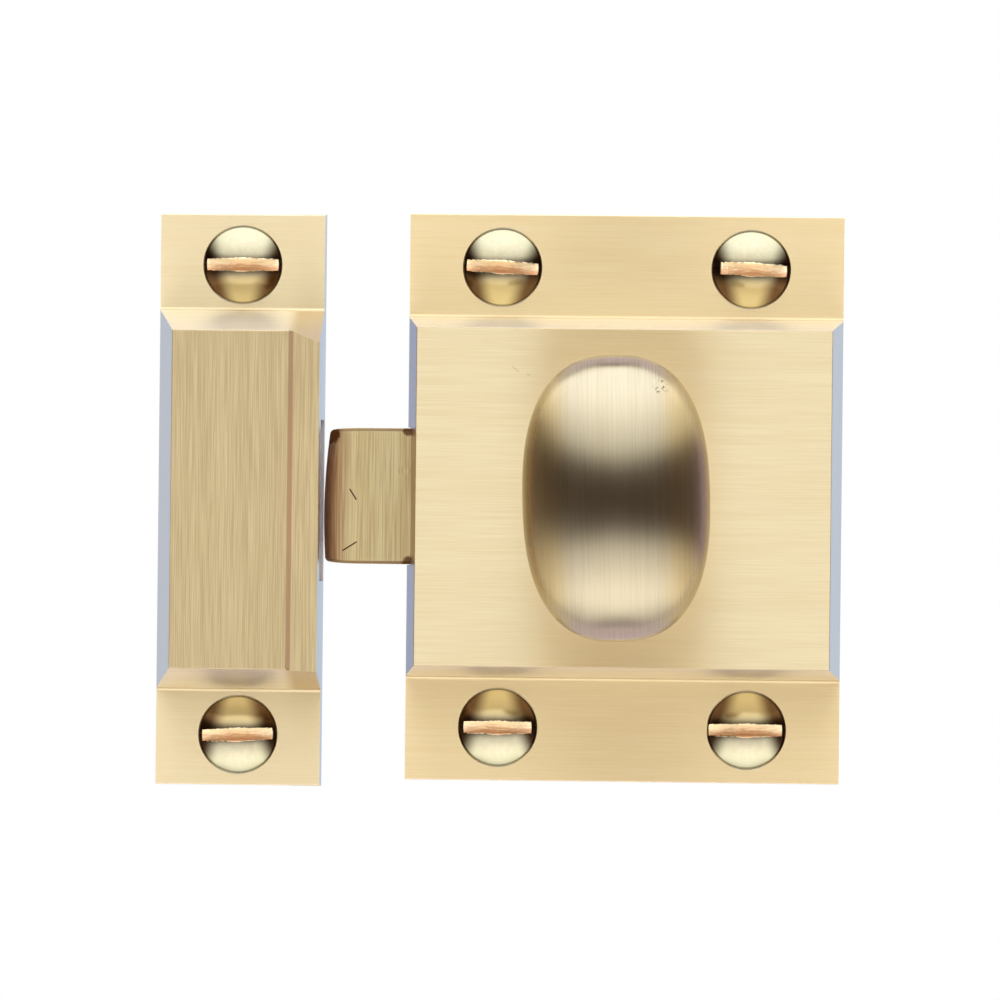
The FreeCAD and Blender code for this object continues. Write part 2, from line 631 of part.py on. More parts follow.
def make_knob():
    """Oval head lofted through superellipse sections, on a turned neck with a blind bore."""
    wide = dim("knob_width") / 2
    tall = dim("knob_height") / 2
    middle = dim("knob_middle")
    front = dim("knob_front")
    rear = dim("knob_rear")
    sections = []
    for degrees in (-90, -72, -48, -24, 0, 24, 48, 72, 90):
        angle = math.radians(degrees)
        depth = middle + math.sin(angle) * (front if degrees > 0 else rear)
        if abs(degrees) == 90:
            sections.append(Part.Vertex(0, -depth, 0))
        else:
            size = math.cos(angle)
            power = 2 + (dim("oval_power") - 2) * size
            sections.append(oval(wide * size, tall * size, depth, power))
    head = doc.addObject("Part::Feature", "knob_head")
    head.Shape = Part.makeLoft(sections, True)

    neck = new_body("knob_neck")
    half = new_sketch(neck, "neck_half", "XY_Plane")
    foot = "dims.case_depth + dims.washer_depth"
    inside = "dims.knob_middle - dims.knob_rear + dims.neck_sink"
    outline(half, [
        ("0", f"-({foot})"),
        ("dims.neck_radius", f"-({foot})"),
        ("dims.neck_radius", f"-({foot} + dims.neck_foot)"),
        ("dims.waist_radius", f"-({foot} + dims.waist_start)"),
        ("dims.waist_radius", f"-({foot} + dims.waist_end)"),
        ("dims.neck_flare", f"-({inside})"),
        ("0", f"-({inside})"),
    ])
    revolve(neck, "neck_turned", half)

    body = doc.addObject("Part::Fuse", "knob_solid")
    body.Base = head
    body.Tool = neck
    bore = doc.addObject("Part::Cylinder", "knob_bore")
    bore.setExpression("Radius", "dims.front_journal + dims.press_gap")
    bore.setExpression("Height", "dims.case_depth + dims.stub_length + dims.journal_gap")
    bore.Placement.Rotation = FreeCAD.Rotation(FreeCAD.Vector(1, 0, 0), 90)
    knob = doc.addObject("Part::Cut", "knob")
    knob.Label = "knob"
    knob.Base = body
    knob.Tool = bore
    knob.Placement.Rotation = FreeCAD.Rotation(FreeCAD.Vector(0, 1, 0), -dim("knob_lean"))
    place(knob, "dims.spindle_x")
    return knob


# The bolt and its spring

def make_bolt():
    body = new_body("bolt")
    shoulder = "-(dims.cavity_width / 2 - dims.shoulder_gap)"
    slide = new_sketch(body, "slide_outline", "XZ_Plane", "dims.bolt_back")
    rectangle(slide, shoulder, "dims.slide_end", "-dims.slide_height / 2", "dims.slide_height / 2")
    pad(body, "slide_plate", slide, "dims.slide_depth")

    nose = new_sketch(body, "nose_side", "XY_Plane")
    outline(nose, [
        ("dims.nose_inner", "-dims.bolt_back"),
        ("dims.nose_inner", "-dims.bolt_front"),
        ("dims.bolt_tip", "-dims.bolt_front"),
        ("dims.bolt_tip", "-(dims.bolt_back + dims.bevel_depth)"),
        ("dims.bolt_tip + dims.bevel_length", "-dims.bolt_back"),
    ])
    pad(body, "nose_block", nose, "dims.bolt_height", symmetric=True)

    lug = new_sketch(body, "lug_outline", "XZ_Plane", "dims.bolt_back")
    drive = "dims.spindle_x + dims.lug_gap"
    rectangle(lug, drive, f"{drive} + dims.lug_width", "dims.lug_low", "dims.lug_high")
    pad(body, "drive_lug", lug, "dims.cam_back + dims.cam_thickness - dims.bolt_back")

    seat = new_sketch(body, "seat_outline", "XZ_Plane", "dims.bolt_back")
    rectangle(seat, "dims.slide_end - dims.seat_depth", "dims.slide_end",
              "-dims.seat_height / 2", "dims.seat_height / 2")
    pad(body, "spring_seat", seat, "dims.seat_front - dims.bolt_back")

    peg = new_sketch(body, "peg_round", "YZ_Plane", "dims.slide_end")
    circle(peg, "-dims.spring_y", "0", "dims.spigot_radius")
    pad(body, "spring_peg", peg, "dims.spigot_length")

    slot = new_sketch(body, "slide_slot", "XZ_Plane")
    room = "(dims.rear_journal + 3 * dims.journal_gap)"
    rectangle(slot, f"dims.spindle_x - dims.travel_room - {room}", f"dims.spindle_x + {room}",
              f"-{room}", room)
    pocket(body, "slide_journal_slot", slot, "dims.bolt_back + dims.slide_depth")

    tip = dim("bolt_tip")
    face = -dim("bolt_front")
    top = dim("bolt_height") / 2
    round_edges(body, "nose_edge", "dims.nose_round", lambda box: (
        near(box.XMin, tip) and near(box.YMin, face) and near(box.YMax, face) and near(box.XLength, 0)))
    round_edges(body, "nose_corners", "dims.nose_corner", lambda box: (
        near(box.XMax, tip) and near(abs(box.ZMin), top) and near(box.ZLength, 0)))
    return body


def make_spring():
    """Coil spring from the bolt's seat to the case's far wall, its wire drawn with eight flats."""
    body = new_body("bolt_spring")
    wire = new_sketch(body, "spring_wire", "XY_Plane")
    outline(wire, [
        (f"dims.wire_radius * (1 + cos({angle}))", f"dims.spring_radius + dims.wire_radius * sin({angle})")
        for angle in (22.5, 67.5, 112.5, 157.5, 202.5, 247.5, 292.5, 337.5)
    ])
    coil = body.newObject("PartDesign::AdditiveHelix", "spring_coil")
    coil.Profile = wire
    coil.ReferenceAxis = (wire, ["H_Axis"])
    coil.Mode = "height-turns-angle"
    length = "(dims.cavity_width / 2 - dims.slide_end - 2 * dims.spring_gap - 2 * dims.wire_radius)"
    coil.setExpression("Height", length)
    coil.setExpression("Turns", "dims.spring_turns")
    place(body, "dims.slide_end + dims.spring_gap", "-dims.spring_y")
    return body


def check_document():
    """Stop unless every object is sound and every cut took something away."""
    for thing in doc.Objects:
        if "Invalid" in thing.State or "Error" in thing.State:
            raise RuntimeError(f"{thing.Name} failed: {thing.State}")
        if thing.TypeId in ("PartDesign::Pocket", "PartDesign::Hole", "PartDesign::SubtractiveLoft"):
            if thing.Shape.Volume > thing.BaseFeature.Shape.Volume - CLOSE:
                raise RuntimeError(f"{thing.Name} cuts nothing")


def write_nodes():
    os.makedirs("parts", exist_ok=True)
    by_label = {thing.Label: thing for thing in doc.Objects}
    shapes = {}
    for node in NODES:
        shape = by_label[node].Shape
        if shape.isNull() or not shape.isValid():
            raise RuntimeError(f"{node} has no valid shape")
        shapes[node] = shape
    for node, shape in shapes.items():
        shape.exportStep(os.path.join("parts", node + ".step"))
        box = shape.BoundBox
        print(f"{node}: {len(shape.Solids)} solid(s), {shape.Volume:.1f} mm3, "
              f"x {box.XMin:.2f} to {box.XMax:.2f}, y {box.YMin:.2f} to {box.YMax:.2f}, "
              f"z {box.ZMin:.2f} to {box.ZMax:.2f}")


make_case()
make_keeper()
make_back_plate()
make_screws()
make_spindle()
make_cam()
make_knob_washer()
make_knob()
make_bolt()
make_spring()
doc.recompute()
check_document()
write_nodes()
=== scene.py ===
# %% [markdown]
# # A cupboard catch latch in brushed brass
# The latch is a cast case with an oval knob and a sprung bolt, and a keeper that the bolt enters.
# Its solids come from a CAD model and stay where they are. This lesson gives them what a drawing
# leaves out: strokes in the metal, real screws, a wound spring, small damage, light and a camera.

# %% Load the solids
import math
import random

import bmesh
import bpy
from mathutils import Matrix, Vector


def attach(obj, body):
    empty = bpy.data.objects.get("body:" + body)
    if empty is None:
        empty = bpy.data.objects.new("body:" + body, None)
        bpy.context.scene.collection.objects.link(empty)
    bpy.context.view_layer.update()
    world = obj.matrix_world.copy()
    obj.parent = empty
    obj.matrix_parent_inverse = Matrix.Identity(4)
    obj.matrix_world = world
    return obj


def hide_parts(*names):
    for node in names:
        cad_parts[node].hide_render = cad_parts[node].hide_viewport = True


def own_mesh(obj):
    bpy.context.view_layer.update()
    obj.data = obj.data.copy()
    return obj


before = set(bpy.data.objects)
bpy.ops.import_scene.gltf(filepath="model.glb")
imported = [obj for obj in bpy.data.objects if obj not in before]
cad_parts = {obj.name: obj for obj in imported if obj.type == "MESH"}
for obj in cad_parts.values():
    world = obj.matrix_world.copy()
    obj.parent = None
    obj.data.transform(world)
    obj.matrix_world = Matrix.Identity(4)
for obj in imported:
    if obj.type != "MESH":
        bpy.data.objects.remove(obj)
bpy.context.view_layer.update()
MM = 0.001
print("solids:", ", ".join(sorted(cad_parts)))

# %% [markdown]
# ## Sums on sockets
# A worn or brushed surface is a sum of masks, and a tree of Math nodes is hard to read. So a small
# class holds one output socket and answers to Python's operators. Writing `1 - mask` then adds the
# node for us. Every other node comes from one method, which takes its settings before its sockets.


# %% A socket that does sums
class Wire:
    """An output socket. Each sum on it adds a Math node to the same tree."""

    def __init__(self, socket):
        self.socket = socket
        self.tree = socket.id_data

    @staticmethod
    def node(tree, kind, settings=None, sockets=None, out=0):
        """Add a node: settings first, then a plain value or a Wire for each socket. Gives one output."""
        made = tree.nodes.new(kind)
        for name, setting in (settings or {}).items():
            setattr(made, name, setting)
        for key, value in (sockets or {}).items():
            if isinstance(value, Wire):
                tree.links.new(value.socket, made.inputs[key])
            else:
                made.inputs[key].default_value = value
        return Wire(made.outputs[out]) if len(made.outputs) else None

    def sum(self, operation, first, second=0.0):
        return self.node(self.tree, "ShaderNodeMath", {"operation": operation}, {0: first, 1: second})

    def __add__(self, other):
        return self.sum("ADD", self, other)

    __radd__ = __add__

    def __sub__(self, other):
        return self.sum("SUBTRACT", self, other)

    def __rsub__(self, other):
        return self.sum("SUBTRACT", other, self)

    def __mul__(self, other):
        return self.sum("MULTIPLY", self, other)

    __rmul__ = __mul__

    def __truediv__(self, other):
        return self.sum("DIVIDE", self, other)

    def __rtruediv__(self, other):
        return self.sum("DIVIDE", other, self)

    def __pow__(self, other):
        return self.sum("POWER", self, other)

    def __rpow__(self, other):
        return self.sum("POWER", other, self)

    def __abs__(self):
        return self.sum("ABSOLUTE", self)

    def higher(self, other):
        return self.sum("MAXIMUM", self, other)


# %% [markdown]
# ## Masks, colours and noise
# A mask is a number from 0 to 1 over the surface. Hard limits would show as steps, so each mask
# fades in with an easy curve. Colours are mixed by the masks, and noise breaks them up. The noise
# takes its lump sizes in metres, because the latch is built in metres too.

# %% Masks and colours
COLOUR_FACTOR, COLOUR_FIRST, COLOUR_SECOND, COLOUR_RESULT = 0, 6, 7, 2


def fade(value, start, end):
    """0 at start and 1 at end, with an easy curve between; start may be the larger."""
    return Wire.node(value.tree, "ShaderNodeMapRange", {"interpolation_type": "SMOOTHSTEP"},
                     {"Value": value, "From Min": start, "From Max": end}, out="Result")


def blend(factor, first, second):
    """A colour between two colours, by the colour sockets of a Mix node."""
    return Wire.node(factor.tree, "ShaderNodeMix", {"data_type": "RGBA"},
                     {COLOUR_FACTOR: factor, COLOUR_FIRST: first, COLOUR_SECOND: second}, COLOUR_RESULT)


def paint(red, green, blue):
    """An opaque colour in linear light."""
    return (red, green, blue, 1.0)


# %% Places and noise
NOISE_ROUGHNESS = 0.55
NOISE_MIDDLE = 0.5


def split(vector):
    """The three parts of a vector as wires."""
    first = Wire.node(vector.tree, "ShaderNodeSeparateXYZ", None, {0: vector})
    return [Wire(part) for part in first.socket.node.outputs]


def distance(first, second):
    """The length of a line with these two parts."""
    return (first ** 2 + second ** 2) ** 0.5


def noise(place, sizes, detail):
    """Soft noise from 0 to 1, with lumps of the given sizes along X, Y and Z."""
    scaled = Wire.node(place.tree, "ShaderNodeVectorMath", {"operation": "MULTIPLY"},
                       {0: place, 1: [1 / size for size in sizes]})
    return Wire.node(place.tree, "ShaderNodeTexNoise", None,
                     {"Vector": scaled, "Scale": 1.0, "Detail": detail, "Roughness": NOISE_ROUGHNESS})


def lumps(place, size, detail):
    """Noise with lumps as wide as they are long."""
    return noise(place, [size] * 3, detail)


# %% Begin and end a finish
def new_finish(name):
    """An empty material, with the wire of its own object's coordinates in metres."""
    made = bpy.data.materials.new(name)
    made.use_nodes = True
    made.node_tree.nodes.clear()
    return made, Wire.node(made.node_tree, "ShaderNodeTexCoord", out="Object")


def ridges(height, strength, reach):
    """The surface's direction, tilted by a height that changes over it."""
    return Wire.node(height.tree, "ShaderNodeBump", None,
                     {"Strength": strength, "Distance": reach, "Height": height})


def show(made, shader):
    """Join a shader to the material's output."""
    Wire.node(made.node_tree, "ShaderNodeOutputMaterial", None, {"Surface": shader})
    print("finish:", made.name, len(made.node_tree.nodes), "nodes")
    return made


# %% [markdown]
# ## Satin brass
# The castings are linished: a belt leaves straight strokes, and light spreads across them. Drawing
# every stroke as geometry would take millions of faces. Instead the shader's own anisotropy spreads
# the light. Two noises drawn out along the stroke colour the surface, and the finer one ridges it.

# %% Strokes and the satin shader
STROKE_WIDTH = 0.10 * MM
STROKE_LENGTH = 7 * MM
BAND_WIDTH = 0.8 * MM
BAND_LENGTH = 45 * MM
FINE_SHARE = 0.75
TONE_RANGE = (0.34, 0.66)
RIDGE = 0.004 * MM
RIDGE_STRENGTH = 0.6
BELT_DRAG = 0.08
MARK_DULLNESS = 0.25
ACROSS_X = 0.25
ACROSS_Z = 0.0
EVEN = 0.0


def strokes(place, along, width, length, detail=2.0):
    """Noise drawn out along one axis or two, as a belt or a wheel leaves it."""
    return noise(place, [length if axis in along else width for axis in "XYZ"], detail)


def satin(place, along, dark, light, roughness, spread, marks=None, mark_colour=None, dents=None,
          drag=BELT_DRAG):
    """Brass with strokes along the named axes, duller by drag on a ridge. marks darken and dull it; dents
    sink it.
    """
    fine = strokes(place, along, STROKE_WIDTH, STROKE_LENGTH)
    colour = dark
    if light != dark:
        broad = strokes(place, along, BAND_WIDTH, BAND_LENGTH)
        tone = fade(FINE_SHARE * fine + (1 - FINE_SHARE) * broad, *TONE_RANGE)
        colour = blend(tone, dark, light)
    rough = roughness + drag * (fine - NOISE_MIDDLE)
    height = fine
    if marks is not None:
        colour = blend(marks, colour, mark_colour)
        rough = rough + MARK_DULLNESS * marks
    if dents is not None:
        height = height - dents
    return Wire.node(place.tree, "ShaderNodeBsdfPrincipled", None, {
        "Base Color": colour, "Metallic": 1.0, "Roughness": rough, "Anisotropic": spread,
        "Anisotropic Rotation": ACROSS_X if along == "X" else ACROSS_Z,
        "Normal": ridges(height, RIDGE_STRENGTH, RIDGE)})


# %% [markdown]
# ## The case
# The case keeps its CAD mesh, because every edge of the casting is already rounded there. Its
# strokes run from side to side over the face and the flanges. The walls and the slopes were only
# wiped, so they get an even satin. The creases where they meet are dull and painted darker, as
# shade, and the left wall takes a painted shade too. Separate materials would need the mesh cut up,
# so one material mixes these by the way each face looks.

# %% Dress a casting's sides
CASE_DARK = paint(0.91, 0.78, 0.49)
CASE_LIGHT = paint(0.97, 0.85, 0.57)
WALL_ROUGHNESS = 0.30
SLOPE_DARK = paint(0.86, 0.82, 0.70)
SLOPE_LIGHT = paint(0.94, 0.90, 0.80)
SLOPE_ROUGHNESS = 0.50
# A painted shade for the creases
CREASE_SHADE = paint(0.60, 0.49, 0.31)
CREASE_FROM_FRONT = (0.12, 0.30)
CREASE_FROM_SLOPE = (0.88, 0.78)
SIDEWAYS = (0.45, 0.75)
LEFTWARD = (-0.45, -0.75)
FLANGE_SURFACE = -2.82 * MM
SURFACE_MARGIN = 0.05 * MM


def mixed(factor, first, second):
    """One shader where the factor is 0 and another where it is 1."""
    return Wire.node(factor.tree, "ShaderNodeMixShader", None, {0: factor, 1: first, 2: second})


def facing(place):
    """The parts of the surface's own direction, for masks by which way a face looks."""
    return split(Wire.node(place.tree, "ShaderNodeNewGeometry", out="Normal"))


def with_sides(place, front, left_wall_shade=CASE_DARK, slope=(SLOPE_DARK, SLOPE_LIGHT)):
    """The front's finish, even satin walls with a painted shade on the left one, duller slopes, and dull
    creases in a painted shade.
    """
    x, _, z = facing(place)
    _, depth, _ = split(place)
    # The left wall takes a painted shade where one is given
    leftward = fade(x, *LEFTWARD)
    wall = [blend(leftward, colour, left_wall_shade) for colour in (CASE_DARK, CASE_LIGHT)]
    walls = satin(place, "X", *wall, WALL_ROUGHNESS, EVEN)
    slopes = satin(place, "X", *slope, SLOPE_ROUGHNESS, EVEN)
    # The creases take a dark colour, a painted shade
    crease_shade_satin = satin(place, "X", CREASE_SHADE, CREASE_SHADE, SLOPE_ROUGHNESS, EVEN)
    sides = mixed(fade(abs(z), *SIDEWAYS), mixed(fade(abs(x), *SIDEWAYS), front, walls), slopes)
    above = fade(depth, FLANGE_SURFACE, FLANGE_SURFACE - SURFACE_MARGIN)
    crease_shade_mask = fade(abs(z), *CREASE_FROM_FRONT) * fade(abs(z), *CREASE_FROM_SLOPE) * above
    return mixed(crease_shade_mask, sides, crease_shade_satin)


# %% Scratches
SCRATCH_CORE = 0.3


def line_mark(place, start, end, width):
    """A mask along a short straight scratch in the XZ plane, in metres."""
    x, _, z = split(place)
    run = Vector(end) - Vector(start)
    reach = run.length
    way = run / reach
    along = (x - start[0]) * way.x + (z - start[1]) * way.y
    aside = abs((x - start[0]) * way.y - (z - start[1]) * way.x)
    ends = fade(along, -width, width) * fade(along, reach + width, reach - width)
    return fade(aside, width, SCRATCH_CORE * width) * ends


def scratches(place, lines, width):
    """The strongest of several scratches, whose ends are given in millimetres."""
    strongest = None
    for start, end in lines:
        scratch = line_mark(place, [v * MM for v in start], [v * MM for v in end], width)
        strongest = scratch if strongest is None else strongest.higher(scratch)
    return strongest


# %% Finish the case
FLANGE_DARK = paint(0.97, 0.78, 0.45)
FLANGE_LIGHT = paint(1.00, 0.84, 0.52)
FLANGE_FRONT = -5.0 * MM
FRONT_MARGIN = 0.2 * MM
# Half width of the painted reflection of the knob on the face
COLUMN_HALF = 7.4 * MM
COLUMN_MARGIN = 2.5 * MM
CASE_ROUGHNESS = 0.46
CASE_SPREAD = 0.86
# A painted shade on the case's left wall
LEFT_WALL_SHADE = paint(0.50, 0.35, 0.23)
SCUFF = paint(0.45, 0.36, 0.20)
SCUFF_LINES = (((-9.9, 11.6), (-9.3, 11.1)), ((-8.6, 10.9), (-8.3, 10.8)))
SCUFF_WIDTH = 0.06 * MM
SCUFF_STRENGTH = 0.4


def dress(node, finish):
    """Give a CAD node a finish in its material slots; its mesh stays untouched."""
    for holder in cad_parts[node].material_slots:
        holder.material = finish
    print("dressed:", node, "as", finish.name)


case_satin, place = new_finish("satin_case")
x, depth, _ = split(place)
raised = fade(depth, FLANGE_FRONT, FLANGE_FRONT - FRONT_MARGIN)
# Behind the knob the face takes the flanges' warmer colours, a painted reflection of the knob
knob_reflection_column = fade(abs(x), COLUMN_HALF + COLUMN_MARGIN, COLUMN_HALF - COLUMN_MARGIN)
pale = raised * (1 - knob_reflection_column)
front = satin(place, "X", blend(pale, FLANGE_DARK, CASE_DARK), blend(pale, FLANGE_LIGHT, CASE_LIGHT),
              CASE_ROUGHNESS, CASE_SPREAD,
              marks=SCUFF_STRENGTH * scratches(place, SCUFF_LINES, SCUFF_WIDTH), mark_colour=SCUFF)
show(case_satin, with_sides(place, front, LEFT_WALL_SHADE))
dress("latch_case", case_satin)

# %% [markdown]
# ## The keeper
# The keeper's flanges are brushed like the case, but its raised face was brushed from end to end.
# A painted brown line stands for the shade on the step to its lip, and the slopes over the lip are
# painted darker, as shade. The socket is painted a flat, dull grey, which stands for its shade. One
# mesh carries all of these, so masks by place mix them in one material and leave the CAD mesh as
# it is.

# %% Places on the keeper
FACE_FRONT = -8.0 * MM
STEP_LEFT = -29.72 * MM
STEP_RIGHT = -29.32 * MM
STEP_HALF = 14.9 * MM
LIP_MARGINS = (0.6 * MM, 0.4 * MM)
SOCKET_HALF = 7.25 * MM
SOCKET_MIDDLE = -0.45 * MM
SOCKET_LEFT = -37.9 * MM
SOCKET_RIGHT = -27.02 * MM
SOCKET_FRONT = -6.42 * MM
SOCKET_BACK = -0.9 * MM
FINE_MARGIN = 0.03 * MM
OPEN_MARGIN = 0.02 * MM
CAST_MARGIN = 0.1 * MM


def between(value, low, high, below, above):
    """1 between two limits, fading to 0 over a margin outside each."""
    return fade(value, low - below, low) * fade(value, high + above, high)


keeper_satin, place = new_finish("satin_keeper")
x, depth, z = split(place)
off_middle = abs(z - SOCKET_MIDDLE)
raised = fade(depth, FACE_FRONT, FACE_FRONT - FRONT_MARGIN)
lip = fade(x, STEP_LEFT - LIP_MARGINS[0], STEP_RIGHT + LIP_MARGINS[1])
step = (between(x, STEP_LEFT, STEP_RIGHT, FINE_MARGIN, FINE_MARGIN) * raised
        * fade(off_middle, STEP_HALF + CAST_MARGIN, STEP_HALF))
in_socket = (fade(off_middle, SOCKET_HALF + FINE_MARGIN, SOCKET_HALF)
             * between(x, SOCKET_LEFT, SOCKET_RIGHT, CAST_MARGIN, OPEN_MARGIN)
             * between(depth, SOCKET_FRONT, SOCKET_BACK, FINE_MARGIN, CAST_MARGIN))
print("masks:", len(place.tree.nodes), "nodes for the keeper's places")

# %% Finish the keeper
FACE_DARK = paint(0.79, 0.65, 0.38)
FACE_LIGHT = paint(0.97, 0.84, 0.54)
FACE_ROUGHNESS = 0.64
FACE_SPREAD = 0.35
KEEPER_DARK = paint(0.98, 0.82, 0.52)
KEEPER_LIGHT = paint(1.00, 0.88, 0.58)
# Painted shade: the step's line, the slopes over the lip and the socket
STEP_SHADE_BROWN = paint(0.68, 0.50, 0.33)
LIP_SHADE = paint(0.66, 0.56, 0.38)
SOCKET_SHADE_GREY = paint(0.60, 0.59, 0.61)
SOCKET_ROUGHNESS = 0.7

face = satin(place, "Z", FACE_DARK, FACE_LIGHT, FACE_ROUGHNESS, FACE_SPREAD)
flanges = satin(place, "X", KEEPER_DARK, KEEPER_LIGHT, CASE_ROUGHNESS, CASE_SPREAD)
# The slopes over the lip are painted darker, as shade
slope = [blend(lip, colour, LIP_SHADE) for colour in (SLOPE_DARK, SLOPE_LIGHT)]
castings = with_sides(place, mixed(raised, flanges, face), slope=slope)
# The step's brown line is painted shade
painted_step_shade = satin(place, "Z", STEP_SHADE_BROWN, STEP_SHADE_BROWN, FACE_ROUGHNESS, EVEN)
# The socket's flat grey is painted shade
painted_socket_shade = Wire.node(place.tree, "ShaderNodeBsdfPrincipled", None, {
    "Base Color": SOCKET_SHADE_GREY, "Metallic": 0.0, "Roughness": SOCKET_ROUGHNESS})
show(keeper_satin, mixed(in_socket, mixed(step, castings, painted_step_shade), painted_socket_shade))
dress("keeper", keeper_satin)

# %% [markdown]
# ## Meshes from rings
# The knob, the screws and the spring are all turned or swept, so each is a stack of rings. A ring
# is a list of points, and neighbouring rings are joined by four-sided faces. That gives an even
# mesh with no holes, which shades smoothly.


# %% Join rings into a skin
def skin(rings):
    """Corners and faces of a closed tube through rings of equal count, with a fan at each end."""
    count = len(rings[0])
    corners = [point for ring in rings for point in ring]
    faces = []
    for row in range(len(rings) - 1):
        for i in range(count):
            following = (i + 1) % count
            faces.append((row * count + i, row * count + following,
                          (row + 1) * count + following, (row + 1) * count + i))
    for row, flip in ((0, True), (len(rings) - 1, False)):
        middle = sum(rings[row], Vector()) / count
        corners.append(middle)
        tip = len(corners) - 1
        for i in range(count):
            pair = (row * count + i, row * count + (i + 1) % count)
            faces.append((*(pair[::-1] if flip else pair), tip))
    return corners, faces


# %% Make a piece and let it ride
SHARP_EDGE = 35.0


def smooth(piece, sharp):
    """Shade a piece smoothly, except across edges sharper than the limit in degrees."""
    mesh = piece.data
    mesh.polygons.foreach_set("use_smooth", [True] * len(mesh.polygons))
    mesh.set_sharp_from_angle(angle=math.radians(sharp))


def new_piece(name, corners, faces):
    """A smooth mesh object whose faces look outwards."""
    mesh = bpy.data.meshes.new(name)
    mesh.from_pydata(corners, [], faces)
    work = bmesh.new()
    work.from_mesh(mesh)
    bmesh.ops.recalc_face_normals(work, faces=work.faces)
    work.to_mesh(mesh)
    work.free()
    piece = bpy.data.objects.new(name, mesh)
    bpy.context.scene.collection.objects.link(piece)
    smooth(piece, SHARP_EDGE)
    return piece


def settle(piece, body, finish, slot, *nodes):
    """Let a piece ride on its body in place of CAD nodes."""
    piece.data.materials.clear()
    piece.data.materials.append(finish)
    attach(piece, body)
    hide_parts(*nodes)
    print("piece:", piece.name, len(piece.data.polygons), "faces, rides on", body)


# %% [markdown]
# ## The knob
# The knob is a cast oval, fuller than an ellipse, on a short round neck. A stretched ball would be
# too thin at its corners, so a formula gives each ring: a superellipse whose size follows a half
# circle in depth. A curve then eases the belly into the neck, and the rings end in the spindle's bore.

# %% The knob's head
KNOB_HALF_WIDTH = 8.15 * MM
KNOB_HALF_HEIGHT = 12.45 * MM
KNOB_MIDDLE = 20.6 * MM
KNOB_CROWN = 6.6 * MM
KNOB_BELLY = 5.2 * MM
KNOB_POWER = 2.5
KNOB_SIDES = 128
CROWN_START = 89
BELLY_END = -50
RING_STEP = 2
ROUND = 2.0


def oval_ring(half_width, half_height, depth, power=ROUND):
    """A ring that is an ellipse at a power of 2 and fuller at a higher one."""
    ring = []
    for i in range(KNOB_SIDES):
        angle = 2 * math.pi * i / KNOB_SIDES
        across = math.copysign(abs(math.cos(angle)) ** (2 / power), math.cos(angle))
        up = math.copysign(abs(math.sin(angle)) ** (2 / power), math.sin(angle))
        ring.append(Vector((half_width * across, -depth, half_height * up)))
    return ring


def head_section(degrees):
    """A section of the head: +90 is the crown, 0 the widest part, -90 the middle of the belly."""
    angle = math.radians(degrees)
    size = math.cos(angle)
    depth = KNOB_MIDDLE + math.sin(angle) * (KNOB_CROWN if degrees > 0 else KNOB_BELLY)
    power = ROUND + (KNOB_POWER - ROUND) * size
    return KNOB_HALF_WIDTH * size, KNOB_HALF_HEIGHT * size, depth, power


knob_rings = [oval_ring(*head_section(degrees))
              for degrees in range(CROWN_START, BELLY_END - 1, -RING_STEP)]
print("head:", len(knob_rings), "rings of", KNOB_SIDES, "points")

# %% The knob's neck and bore
NECK_STEPS = 10
NECK_EASE = 1.1 * MM
NECK_DROP = 2.7 * MM
NECK_WAIST = 3.7 * MM
NECK_FOOT = 4.1 * MM
KNOB_FOOT = 10.5 * MM
FOOT_ROUND = 0.1 * MM
BORE_RADIUS = 3.01 * MM
BORE_END = 17.05 * MM
FOOT_PROFILE = (
    (NECK_WAIST, KNOB_FOOT + 1.6 * MM), (NECK_FOOT - FOOT_ROUND, KNOB_FOOT + 0.9 * MM),
    (NECK_FOOT, KNOB_FOOT + 0.7 * MM), (NECK_FOOT, KNOB_FOOT + FOOT_ROUND),
    (NECK_FOOT - FOOT_ROUND, KNOB_FOOT), (BORE_RADIUS + FOOT_ROUND, KNOB_FOOT),
    (BORE_RADIUS, KNOB_FOOT + FOOT_ROUND), (BORE_RADIUS, BORE_END))
SPINDLE_X = -0.4 * MM
KNOB_LEAN = math.radians(1.7)

wide, tall, belly_depth, power = head_section(BELLY_END)
for i in range(1, NECK_STEPS + 1):
    t = i / NECK_STEPS
    keep = (1 - t) ** 2
    bend = 2 * t * (1 - t)
    depth = (keep * belly_depth + bend * (belly_depth - NECK_EASE)
             + t * t * (belly_depth - NECK_DROP))
    half_width, half_height = (keep * half + (1 - keep) * NECK_WAIST for half in (wide, tall))
    knob_rings.append(oval_ring(half_width, half_height, depth, ROUND + (power - ROUND) * keep))
for radius, depth in FOOT_PROFILE:
    knob_rings.append(oval_ring(radius, radius, depth))
knob = new_piece("knob_satin", *skin(knob_rings))
knob.matrix_world = Matrix.Translation((SPINDLE_X, 0, 0)) @ Matrix.Rotation(-KNOB_LEAN, 4, "Y")
print("knob:", len(knob_rings), "rings, leaning by", round(math.degrees(KNOB_LEAN), 1), "degrees")

# %% [markdown]
# ## The knob's satin
# The knob was brushed from top to bottom, over its crown and down its sides, so its strokes are
# drawn out along two axes. Its middle looks silvery and its flanks golden, and handling polished
# its rim. A few casting pits near the top right are dark and sunk, by colour and bump together.

# %% Finish the knob
KNOB_DARK = paint(0.49, 0.43, 0.30)
KNOB_LIGHT = paint(0.545, 0.49, 0.36)
KNOB_SIDE_DARK = paint(0.51, 0.40, 0.21)
KNOB_SIDE_LIGHT = paint(0.565, 0.445, 0.24)
FLANK_RANGE = (0.42 * KNOB_HALF_WIDTH, 0.72 * KNOB_HALF_WIDTH)
RIM_RANGE = (0.62, 0.86)
KNOB_ROUGHNESS = 0.39
RIM_ROUGHNESS = 0.24
KNOB_SPREAD = 0.89
KNOB_DRAG = 0.12
PIT = paint(0.12, 0.08, 0.04)
PIT_CENTRE = (4.1 * MM, 9.7 * MM)
PIT_REACH = 0.9 * MM
PIT_CORE = 0.4
PIT_SIZE = 0.3 * MM
PIT_RANGE = (0.56, 0.66)
PIT_DEPTH = 6

